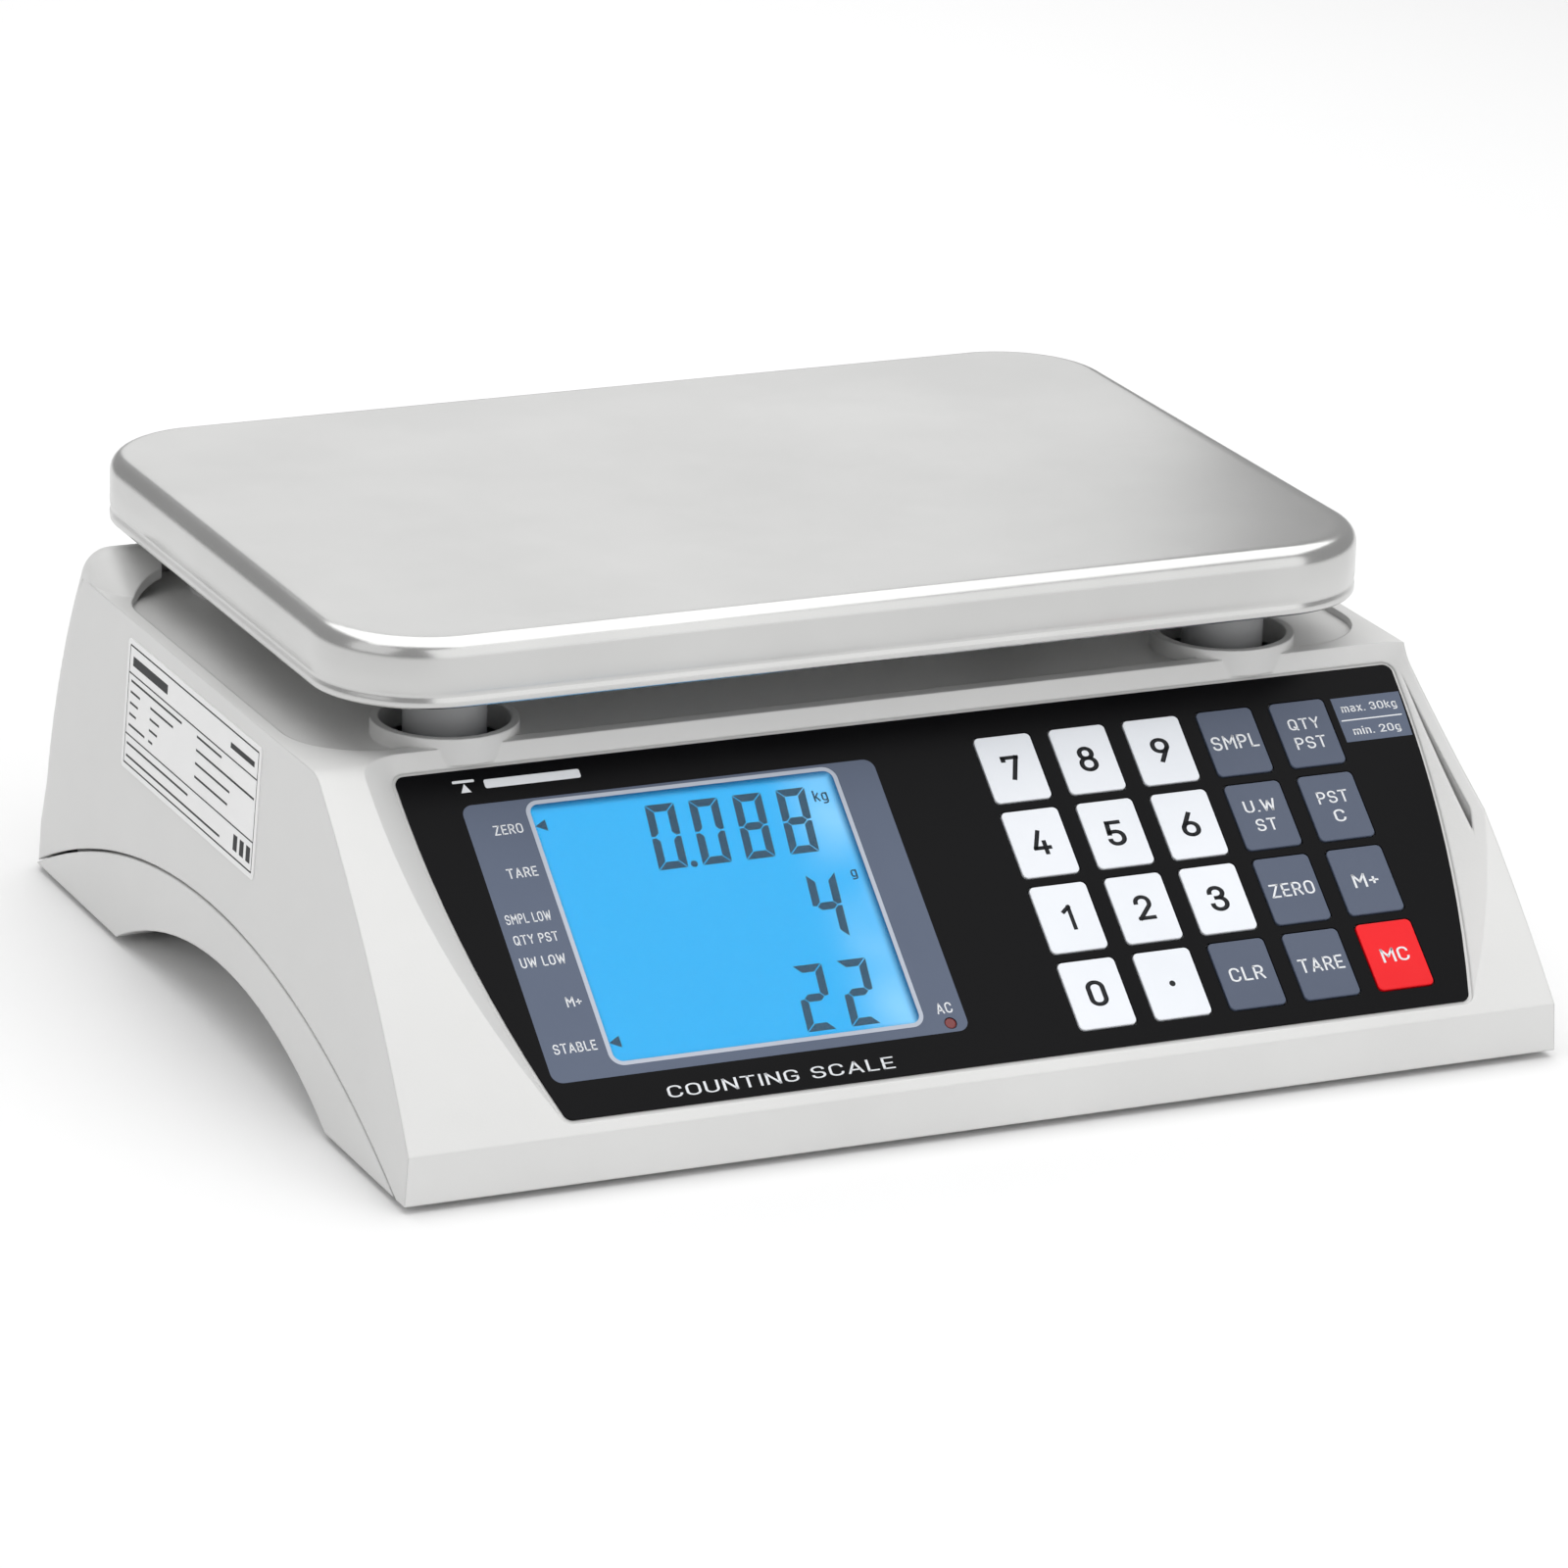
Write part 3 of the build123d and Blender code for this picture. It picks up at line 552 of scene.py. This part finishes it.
finishes = {
    "housing": makeFinish("housingShell", tone(222, 222, 221), tone(216, 216, 215), (0.36, 0.46),
                          grainSize=1800.0, grainDepth=0.10, wear=0.5, wearColour=tone(234, 234, 233),
                          dust=0.06, edge=0.0008),
    "film": makeFinish("panelFilm", tone(11, 11, 13), tone(7, 7, 9), (0.28, 0.34), grainSize=2600.0,
                       grainDepth=0.03, wear=0.25, dust=0.002, edge=0.0002, Specular_IOR_Level=0.07),
    "slate": makeFinish("slatePrint", tone(92, 102, 122), tone(86, 96, 116), (0.28, 0.38), **printed),
    "whiteInk": makeFinish("whitePrint", tone(236, 238, 241), tone(226, 229, 233), (0.35, 0.45), **printed),
    "frameInk": makeFinish("framePrint", tone(188, 194, 206), tone(176, 183, 196), (0.3, 0.4), **printed),
    "darkInk": makeFinish("darkPrint", tone(22, 24, 28), tone(30, 32, 36), (0.35, 0.45), **printed),
    "segmentInk": makeFinish("segmentInk", display["ink"], tone(30, 84, 112), (0.35, 0.45),
                             **{**printed, "grainDepth": 0.03, "dust": 0.0}),
    "whiteKey": makeFinish("whiteKeyCap", tone(236, 239, 244), tone(226, 230, 236), (0.28, 0.36),
                           wear=0.3, dust=0.04, **moulded),
    "greyKey": makeFinish("slateKeyCap", tone(86, 95, 114), tone(80, 89, 108), (0.28, 0.37),
                          wear=0.4, dust=0.04, **moulded),
    "redKey": makeFinish("redKeyCap", tone(240, 16, 28), tone(226, 12, 24), (0.28, 0.36),
                         wear=0.4, dust=0.03, **moulded),
    "pan": makeFinish("brushedPan", tone(206, 206, 205), tone(196, 196, 195), (0.20, 0.26), metallic=1.0,
                      brush=True, grainDepth=0.12, wear=0.4, wearColour=tone(232, 232, 232), dust=0.02,
                      edge=0.0005),
    "cap": makeFinish("capPlastic", tone(168, 169, 170), tone(154, 155, 157), (0.35, 0.5),
                      grainDepth=0.1, dust=0.1),
    "steel": makeFinish("platedSteel", tone(186, 188, 190), tone(164, 166, 170), (0.28, 0.42), metallic=1.0,
                        grainSize=700.0, dust=0.05),
    "aluminium": makeFinish("castAluminium", tone(176, 178, 180), tone(158, 160, 163), (0.42, 0.58),
                            metallic=1.0, grainSize=500.0, grainDepth=0.25, dust=0.08),
    "blackPlastic": makeFinish("blackPlastic", tone(30, 30, 31), tone(22, 22, 23), (0.4, 0.55),
                               grainSize=1200.0, grainDepth=0.12, wear=0.6, wearColour=tone(74, 74, 76)),
    "rubber": makeFinish("footRubber", tone(46, 46, 47), tone(34, 34, 35), (0.62, 0.8), grainSize=900.0,
                         grainDepth=0.2, dust=0.4, wear=0.5, wearColour=tone(80, 79, 77)),
    "paper": makeFinish("labelPaper", tone(246, 246, 246), tone(238, 238, 238), (0.45, 0.6),
                        grainSize=3000.0, grainDepth=0.05, dust=0.02, edge=0.0002),
    "board": makeFinish("circuitBoard", tone(34, 92, 60), tone(26, 76, 50), (0.35, 0.5), grainSize=300.0,
                        grainDepth=0.1),
    "dome": makeFinish("domeSteel", tone(200, 200, 196), tone(186, 186, 182), (0.28, 0.34), metallic=1.0),
    "cable": makeFinish("cableJacket", tone(58, 58, 60), tone(48, 48, 50), (0.45, 0.6), grainSize=800.0),
    "liquid": makeFinish("levelLiquid", tone(190, 214, 60), tone(174, 204, 44), (0.06, 0.12), dust=0.0,
                         grainDepth=0.01),
    "lamp": makeFinish("redLens", tone(120, 22, 24), tone(96, 14, 18), (0.12, 0.2), dust=0.0,
                       grainDepth=0.02),
    "lit": makeLitPanel(),
    "clear": makeClearPlate(),
}
print("finishes made:", len(finishes))

# CAD nodes that stay, by the record's slots
slotFinish = {
    "housing_plastic": "housing", "bracket_steel": "steel", "cast_aluminium": "aluminium",
    "cap_plastic": "cap", "pan_steel": "pan", "overlay_film": "film", "clear_window": "clear",
    "lcd_panel": "lit", "backlight": "lit", "circuit_board": "board", "steel_dome": "dome",
    "black_plastic": "blackPlastic", "label_paper": "paper", "level_liquid": "liquid", "red_led": "lamp",
    "bolt_steel": "steel", "cable_jacket": "cable", "white_key": "whiteKey", "grey_key": "greyKey",
    "red_key": "redKey", "foot_rubber": "rubber",
}
slotNodes = {part["node"]: part["material_slot"] for part in frame["record"]["subparts"]}
for nodeName, node in nodes.items():
    material = finishes[slotFinish[slotNodes[nodeName]]]
    node.data.materials.clear()
    node.data.materials.append(material)
print("CAD nodes finished:", len(slotNodes))


# weighing pan
pan = {"width": 294.0, "depth": 203.0, "corner": 30.0, "centreY": 36.5, "top": 121.0,
       "sheet": 1.2, "edge": 5.0, "edgeSteps": 10, "cornerSteps": 24,
       "topInsets": (100.0, 96.0, 60.0, 30.0, 12.0, 7.0),
       "skirtProfile": [(0.0, -9.0), (0.0, -13.5), (0.35, -14.2), (0.35, -15.2), (0.0, -15.9), (0.0, -17.4),
                        (0.25, -17.85), (0.7, -18.0), (1.1, -17.85), (1.3, -17.4), (1.3, -9.0)],
       "underInsets": (12.0, 30.0, 60.0, 96.0, 100.0)}


def ringPoints(inset):
    # rounded rectangle with straight sides divided, at a distance inside the outer edge
    halfX = pan["width"] / 2 - inset
    halfY = pan["depth"] / 2 - inset
    radius = max(pan["corner"] - inset, 0.5)
    return roundedRect(-halfX, halfX, -halfY, halfY, radius, pan["cornerSteps"])


def buildPan():
    steps = pan["edgeSteps"]
    profile = [(inset, 0.0) for inset in pan["topInsets"]]
    for step in range(steps + 1):
        angle = math.radians(90 * step / steps)
        profile.append((pan["edge"] * (1 - math.sin(angle)), -pan["edge"] * (1 - math.cos(angle))))
    profile += pan["skirtProfile"]
    inner = pan["edge"] - pan["sheet"]
    for step in range(steps + 1):
        angle = math.radians(90 - 90 * step / steps)
        profile.append((pan["edge"] - inner * math.sin(angle), -pan["edge"] + inner * math.cos(angle)))
    profile += [(inset, -pan["sheet"]) for inset in pan["underInsets"]]
    work = bmesh.new()
    rings = []
    for inset, drop in profile:
        ring = [work.verts.new((x * mm, (y + pan["centreY"]) * mm, (pan["top"] + drop) * mm))
                for x, y in ringPoints(inset)]
        rings.append(ring)
    for upper, lower in zip(rings, rings[1:]):
        for index in range(len(upper)):
            following = (index + 1) % len(upper)
            work.faces.new((upper[index], lower[index], lower[following], upper[following]))
    work.faces.new(list(reversed(rings[0])))
    work.faces.new(rings[-1])
    bmesh.ops.recalc_face_normals(work, faces=work.faces)
    for face in work.faces:
        face.smooth = True
    mesh = bpy.data.meshes.new("panSheet")
    work.to_mesh(mesh)
    work.free()
    return linkMesh("panSheet", mesh)


finishPiece(buildPan(), finishes["pan"], "pan", "pan_steel", "weighing_pan")
print("weighing pan built")


# printing on the panel
printing = {
    "low": -0.03, "high": 0.03, "surround": (-117.5, -3.3, -93.0, -11.0, 3.0),
    "window": (-100.3, -15.0, -89.7, -12.3, 3.2), "frameWidth": 1.15, "lamp": (-8.0, -90.4, 1.7),
    "patch": [(130.6, -9.2), (151.0, -9.2), (150.6, -16.0), (150.1, -22.9), (130.6, -22.9)],
    "rule": [(131.4, -16.45), (149.4, -16.45), (149.4, -16.1), (131.4, -16.1)],
    "rowLegends": [("ZERO", -103.0, -19.2, 7.9), ("TARE", -103.0, -32.1, 8.2),
                   ("SMPL LOW", -103.4, -45.2, 12.3), ("QTY PST", -103.4, -51.4, 11.9),
                   ("UW LOW", -103.4, -58.0, 12.2), ("M+", -103.0, -70.5, 4.2),
                   ("STABLE", -103.0, -83.4, 11.6)],
    "words": [("AC", (-8.4, -85.9), 4.4, 3.2, 0.15), ("COUNTING SCALE", (-57.8, -99.3), 62.0, 3.5, 0.12),
              ("max. 30kg", (140.8, -12.9), 16.4, 3.0, 0.15), ("min. 20g", (140.6, -20.0), 14.0, 3.0, 0.15)],
    "markTriangle": [(-116, -7.2), (-113.2, -7.2), (-114.6, -4.6)],
    "markBeam": (-117.6, -111.6, -4.3, -3.5, 0.35), "markBar": (-109.2, -83.0, -6.6, -4.0, 0.6),
}


def addPrint(name, meshes, finish, body="base", slotName="overlay_film"):
    mesh = joinMeshes(meshes, name)
    mesh.transform(panelPlace)
    return finishPiece(linkMesh(name, mesh), finishes[finish], body, slotName)


def windowOutline(grow, rounding):
    x0, x1, y0, y1, corner = printing["window"]
    return roundedRect(x0 - grow, x1 + grow, y0 - grow, y1 + grow, corner + rounding)


# each layer of print stands a little over the one below it
low, high = printing["low"], printing["high"]
layerStep = 0.01
frameOuter = 0.5
frameInset = frameOuter - printing["frameWidth"]
frameOutlines = [windowOutline(frameOuter, frameOuter), windowOutline(frameInset, frameInset)]
surroundOutlines = [roundedRect(*printing["surround"]), windowOutline(-0.3, 0.0),
                    circlePoints(*printing["lamp"], 24)]
addPrint("surroundPrint", [flatShape(surroundOutlines, low, high - layerStep)], "slate")
addPrint("windowLinePrint", [flatShape(frameOutlines, low, high + 2 * layerStep)], "frameInk")
words = [wordShape(text, (right - width / 2, middle), width, 3.0, low, high + layerStep)
         for text, right, middle, width in printing["rowLegends"]]
words += [wordShape(text, centre, width, height, low, high + layerStep, stroke)
          for text, centre, width, height, stroke in printing["words"]]
words.append(flatShape([printing["rule"]], low, high + layerStep))
addPrint("legendPrint", words, "whiteInk")
addPrint("capacityPatch", [flatShape([printing["patch"]], low, high - layerStep)], "slate")
# plain balance mark: a beam on a triangle, and a bar beside it
mark = [flatShape([printing["markTriangle"]], low, high),
        flatShape([roundedRect(*printing["markBeam"])], low, high),
        flatShape([roundedRect(*printing["markBar"])], low, high)]
addPrint("plainMark", mark, "whiteInk")
print("panel printing laid")

# display segments
digitBars = {"0": "abcdef", "2": "abged", "4": "fgbc", "8": "abcdefg"}


def barOutlines():
    wide, tall = display["digitWidth"], display["digitHeight"]
    thick, gap = display["stroke"], display["gap"]
    half, waist = thick / 2, tall / 2
    near, far = thick + gap, wide - thick - gap
    return {
        "a": [(gap, tall), (wide - gap, tall), (far, tall - thick), (near, tall - thick)],
        "d": [(near, thick), (far, thick), (wide - gap, 0), (gap, 0)],
        "f": [(0, tall - gap), (thick, tall - near), (thick, waist + half + gap), (half, waist + gap),
              (0, waist + gap * 2)],
        "e": [(0, waist - gap * 2), (half, waist - gap), (thick, waist - half - gap), (thick, near),
              (0, gap)],
        "b": [(wide, tall - gap), (wide, waist + gap * 2), (wide - half, waist + gap),
              (wide - thick, waist + half + gap), (wide - thick, tall - near)],
        "c": [(wide, waist - gap * 2), (wide, gap), (wide - thick, near), (wide - thick, waist - half - gap),
              (wide - half, waist - gap)],
        "g": [(half + gap, waist), (near, waist + half), (far, waist + half), (wide - half - gap, waist),
              (far, waist - half), (near, waist - half)],
    }


def digitShapes(text, column, row):
    shapes = []
    bars = barOutlines()
    lean = display["slant"] * display["digitHeight"] / 2
    left = display["columns"][column] - display["digitWidth"] / 2 - lean
    base = display["rowTops"][row] - display["digitHeight"]
    for key in digitBars[text]:
        outline = [(left + x + display["slant"] * y, base + y) for x, y in bars[key]]
        shapes.append(flatShape([outline], display["inkLow"], display["inkHigh"]))
    return shapes


shapes = []
shown = [("0", 0, 0), ("0", 1, 0), ("8", 2, 0), ("8", 3, 0), ("4", 3, 1), ("2", 2, 2), ("2", 3, 2)]
for text, column, row in shown:
    shapes += digitShapes(text, column, row)
inkLow, inkHigh = display["inkLow"], display["inkHigh"]
shapes.append(flatShape([circlePoints(*display["point"], 16)], inkLow, inkHigh))
for tip in display["arrowTips"]:
    shapes.append(flatShape([[(-98.8, tip), (-95.8, tip + 1.7), (-95.8, tip - 1.7)]], inkLow, inkHigh))
shapes.append(wordShape("kg", (-20.2, -19.6), 4.0, 4.1, inkLow, inkHigh, 0.14))
shapes.append(wordShape("g", (-18.6, -43.4), 1.7, 2.9, inkLow, inkHigh, 0.14))
addPrint("displaySegments", shapes, "segmentInk", slotName="lcd_panel")
print("display segments set:", len(shapes))

# key legends
keys = {
    "firstX": 34.15, "firstY": -18.85, "pitchX": 21.5, "pitchY": -22.9, "low": 0.3, "high": 0.39,
    "names": [["7", "8", "9", "sample", "quantity_preset"], ["4", "5", "6", "unit_weight", "preset_clear"],
              ["1", "2", "3", "zero", "memory_add"], ["0", "point", "clear", "tare", "memory_clear"]],
    "digit": (5.3, 7.6), "one": (3.2, 7.6), "spot": 0.85,
    "words": {"sample": [("SMPL", 0, 13.4, 4.3)],
              "quantity_preset": [("QTY", 2.9, 9.2, 3.7), ("PST", -2.9, 9.0, 3.7)],
              "unit_weight": [("U.W", 2.9, 9.2, 3.7), ("ST", -2.9, 6.0, 3.7)],
              "preset_clear": [("PST", 2.9, 9.0, 3.7), ("C", -2.9, 3.2, 3.7)],
              "zero": [("ZERO", 0, 12.8, 4.2)],
              "memory_add": [("M+", 0, 7.4, 4.2)], "clear": [("CLR", 0, 10.0, 4.2)],
              "tare": [("TARE", 0, 12.8, 4.2)], "memory_clear": [("MC", 0, 8.0, 4.2)]},
}
for row, names in enumerate(keys["names"]):
    for column, keyName in enumerate(names):
        keyX = keys["firstX"] + keys["pitchX"] * column
        keyY = keys["firstY"] + keys["pitchY"] * row
        if keyName == "point":
            meshes = [flatShape([circlePoints(keyX, keyY, keys["spot"], 20)], keys["low"], keys["high"])]
        elif len(keyName) == 1:
            width, height = keys["one" if keyName == "1" else "digit"]
            meshes = [wordShape(keyName, (keyX, keyY), width, height, keys["low"], keys["high"], 0.17)]
        else:
            meshes = [wordShape(text, (keyX, keyY + lift), width, height, keys["low"], keys["high"], 0.14)
                      for text, lift, width, height in keys["words"][keyName]]
        dark = keyName == "point" or len(keyName) == 1
        slotName = "white_key" if dark else "red_key" if keyName == "memory_clear" else "grey_key"
        addPrint("legend_" + keyName, meshes, "darkInk" if dark else "whiteInk", "key_" + keyName, slotName)
print("key legends set")

# rating label
label = {"halfWidth": 161.0, "halfWidthTop": 155.0, "skirtZ": 2.0, "topZ": 98.0, "y": 23.4, "z": 66.5,
         "width": 98.0, "height": 35.5, "face": 0.3, "margin": 1.7, "inkHeight": 0.06, "lineHeight": 0.62}
labelTilt = math.atan2(label["halfWidth"] - label["halfWidthTop"], label["topZ"] - label["skirtZ"])
labelX = -(label["halfWidth"] - (label["z"] - label["skirtZ"]) * math.tan(labelTilt))
tiltCos, tiltSin = math.cos(labelTilt), math.sin(labelTilt)
labelPlace = Matrix(((0, tiltSin * mm, -tiltCos * mm, labelX * mm), (-mm, 0, 0, label["y"] * mm),
                     (0, tiltCos * mm, tiltSin * mm, label["z"] * mm), (0, 0, 0, 1)))


def barTree():
    # bars laid on points; the point's "size" attribute gives each bar's length and height
    tree = bpy.data.node_groups.new("printedBars", "GeometryNodeTree")
    newSocket(tree, "Geometry", "NodeSocketGeometry")
    newSocket(tree, "Bar Thickness", "NodeSocketFloat", 0.06)
    newSocket(tree, "Finish", "NodeSocketMaterial")
    newSocket(tree, "Geometry", "NodeSocketGeometry", way="OUTPUT")
    given = tree.nodes.new("NodeGroupInput")
    out = tree.nodes.new("NodeGroupOutput")
    bar = tree.nodes.new("GeometryNodeMeshCube")
    size = tree.nodes.new("ShaderNodeCombineXYZ")
    size.inputs[0].default_value = 1.0
    size.inputs[1].default_value = 1.0
    tree.links.new(given.outputs["Bar Thickness"], size.inputs[2])
    tree.links.new(size.outputs[0], bar.inputs["Size"])
    named = tree.nodes.new("GeometryNodeInputNamedAttribute")
    named.data_type = "FLOAT_VECTOR"
    named.inputs["Name"].default_value = "size"
    lay = tree.nodes.new("GeometryNodeInstanceOnPoints")
    tree.links.new(given.outputs["Geometry"], lay.inputs["Points"])
    tree.links.new(bar.outputs["Mesh"], lay.inputs["Instance"])
    tree.links.new(named.outputs["Attribute"], lay.inputs["Scale"])
    real = tree.nodes.new("GeometryNodeRealizeInstances")
    tree.links.new(lay.outputs["Instances"], real.inputs["Geometry"])
    paint = tree.nodes.new("GeometryNodeSetMaterial")
    tree.links.new(real.outputs["Geometry"], paint.inputs["Geometry"])
    tree.links.new(given.outputs["Finish"], paint.inputs["Material"])
    tree.links.new(paint.outputs["Geometry"], out.inputs["Geometry"])
    return tree


def layBars(bars, name, thickness, finish):
    # bars: centre x, centre y, length, height, all on the label's face
    mesh = bpy.data.meshes.new(name)
    mesh.from_pydata([(x, y, label["face"]) for x, y, length, height in bars], [], [])
    sizes = mesh.attributes.new("size", "FLOAT_VECTOR", "POINT")
    for item, (x, y, length, height) in zip(sizes.data, bars):
        item.vector = (length, height, 1.0)
    return runTree(printedBars, mesh, {"Bar Thickness": thickness, "Finish": finishes[finish]}, name)


def labelBars():
    # outer frame and two rules, short and long lines between them, then a heading, a tail and three blocks
    wide, tall = label["width"] - 2 * label["margin"], label["height"] - 2 * label["margin"]
    left, right, top, bottom = -wide / 2, wide / 2, tall / 2, -tall / 2
    lineHigh = label["lineHeight"]
    bars = [(0, top, wide, 0.45), (0, bottom, wide, 0.45), (left, 0, 0.3, tall), (right, 0, 0.3, tall),
            (0, top - 7.4, wide, 0.4), (0, bottom + 8.0, wide, 0.4)]
    for index, (name, value) in enumerate(((38, 0), (7, 17), (6, 7), (5, 6), (12, 3))):
        row = top - 9.3 - index * 3.0
        bars.append((left + 2 + name / 2, row, name, lineHigh))
        if value:
            bars.append((left + 17 + value / 2, row, value, lineHigh))
    for index, length in enumerate((18, 42, 25, 24)):
        bars.append((4 + length / 2, top - 9.3 - index * 3.6, length, lineHigh))
    for index, length in enumerate((46, 70)):
        bars.append((left + 1.5 + length / 2, bottom + 5.6 - index * 3.4, length, lineHigh))
    bars += [(left + 15.5, top - 3.8, 26, 2.6), (right - 11, top - 4.0, 17, 1.5)]
    bars += [(right - 12 + index * 4.6, bottom + 4.0, 2.8, 4.2) for index in range(3)]
    return bars


printedBars = barTree()
labelMesh = layBars(labelBars(), "labelLines", label["inkHeight"], "darkInk")
labelMesh.transform(labelPlace)
finishPiece(linkMesh("labelLines", labelMesh), finishes["darkInk"], "base", "label_paper")
print("rating label ruled")

# floor, lights, camera
studio = {"floor": 8.0, "floorTone": 0.87, "daylight": 0.42, "lens": 187.5, "sensor": 36.0,
          "eye": (-0.8616, -1.8594, 0.7459), "azimuth": -24.907, "elevation": 18.785, "roll": 1.804,
          "nearest": 0.05, "farthest": 40.0}
floorMesh = bpy.data.meshes.new("floor")
reach = studio["floor"]
floorMesh.from_pydata([(-reach, -reach, 0), (reach, -reach, 0), (reach, reach, 0), (-reach, reach, 0)],
                      [], [(0, 1, 2, 3)])
floor = linkMesh("floor", floorMesh)
floorMaterial = bpy.data.materials.new("paleFloor")
floorMaterial.use_nodes = True
floorShader = floorMaterial.node_tree.nodes["Principled BSDF"]
floorShader.inputs["Base Color"].default_value = (studio["floorTone"],) * 3 + (1,)
floorShader.inputs["Roughness"].default_value = 0.7
floorShader.inputs["Specular IOR Level"].default_value = 0.2
floorMesh.materials.append(floorMaterial)

world = bpy.data.worlds.new("studio")
scene.world = world
world.use_nodes = True
daylight = world.node_tree.nodes["Background"]
daylight.inputs["Color"].default_value = (1.0, 1.0, 1.0, 1)
daylight.inputs["Strength"].default_value = studio["daylight"]

lamps = {
    "topSoftbox": {"at": (0.1, 0.2, 1.5), "aim": (0, 0, 0.05), "size": 2.4, "power": 28.0},
    "leftSoftbox": {"at": (-1.6, -0.5, 0.9), "aim": (0, 0, 0.05), "size": 1.4, "power": 3.4},
    "frontSoftbox": {"at": (0.4, -1.7, 0.7), "aim": (0, 0, 0.05), "size": 1.9, "power": 10.0},
    "rearCard": {"at": (0.36, 1.22, 0.58), "aim": (-0.05, 0.04, 0.12), "size": 0.75, "power": 1.15},
}
for lampName, facts in lamps.items():
    light = bpy.data.lights.new(lampName, "AREA")
    light.shape = "SQUARE"
    light.size = facts["size"]
    light.energy = facts["power"]
    lamp = bpy.data.objects.new(lampName, light)
    scene.collection.objects.link(lamp)
    lamp.location = facts["at"]
    lamp.rotation_mode = "QUATERNION"
    lamp.rotation_quaternion = (Vector(facts["aim"]) - Vector(facts["at"])).to_track_quat("-Z", "Y")

camera = bpy.data.objects.new("camera", bpy.data.cameras.new("camera"))
scene.collection.objects.link(camera)
camera.data.lens = studio["lens"]
camera.data.sensor_width = studio["sensor"]
camera.data.clip_start, camera.data.clip_end = studio["nearest"], studio["farthest"]
azimuth, elevation, roll = (math.radians(studio[key]) for key in ("azimuth", "elevation", "roll"))
back = Vector((math.sin(azimuth) * math.cos(elevation), -math.cos(azimuth) * math.cos(elevation),
               math.sin(elevation)))
right = Vector((math.cos(azimuth), math.sin(azimuth), 0))
up = back.cross(right)
axisX = right * math.cos(roll) + up * math.sin(roll)
axisY = up * math.cos(roll) - right * math.sin(roll)
turn = Matrix((axisX, axisY, back)).transposed()
camera.matrix_world = Matrix.Translation(studio["eye"]) @ turn.to_4x4()
scene.camera = camera
scene.view_settings.view_transform = "Standard"
print("studio set")
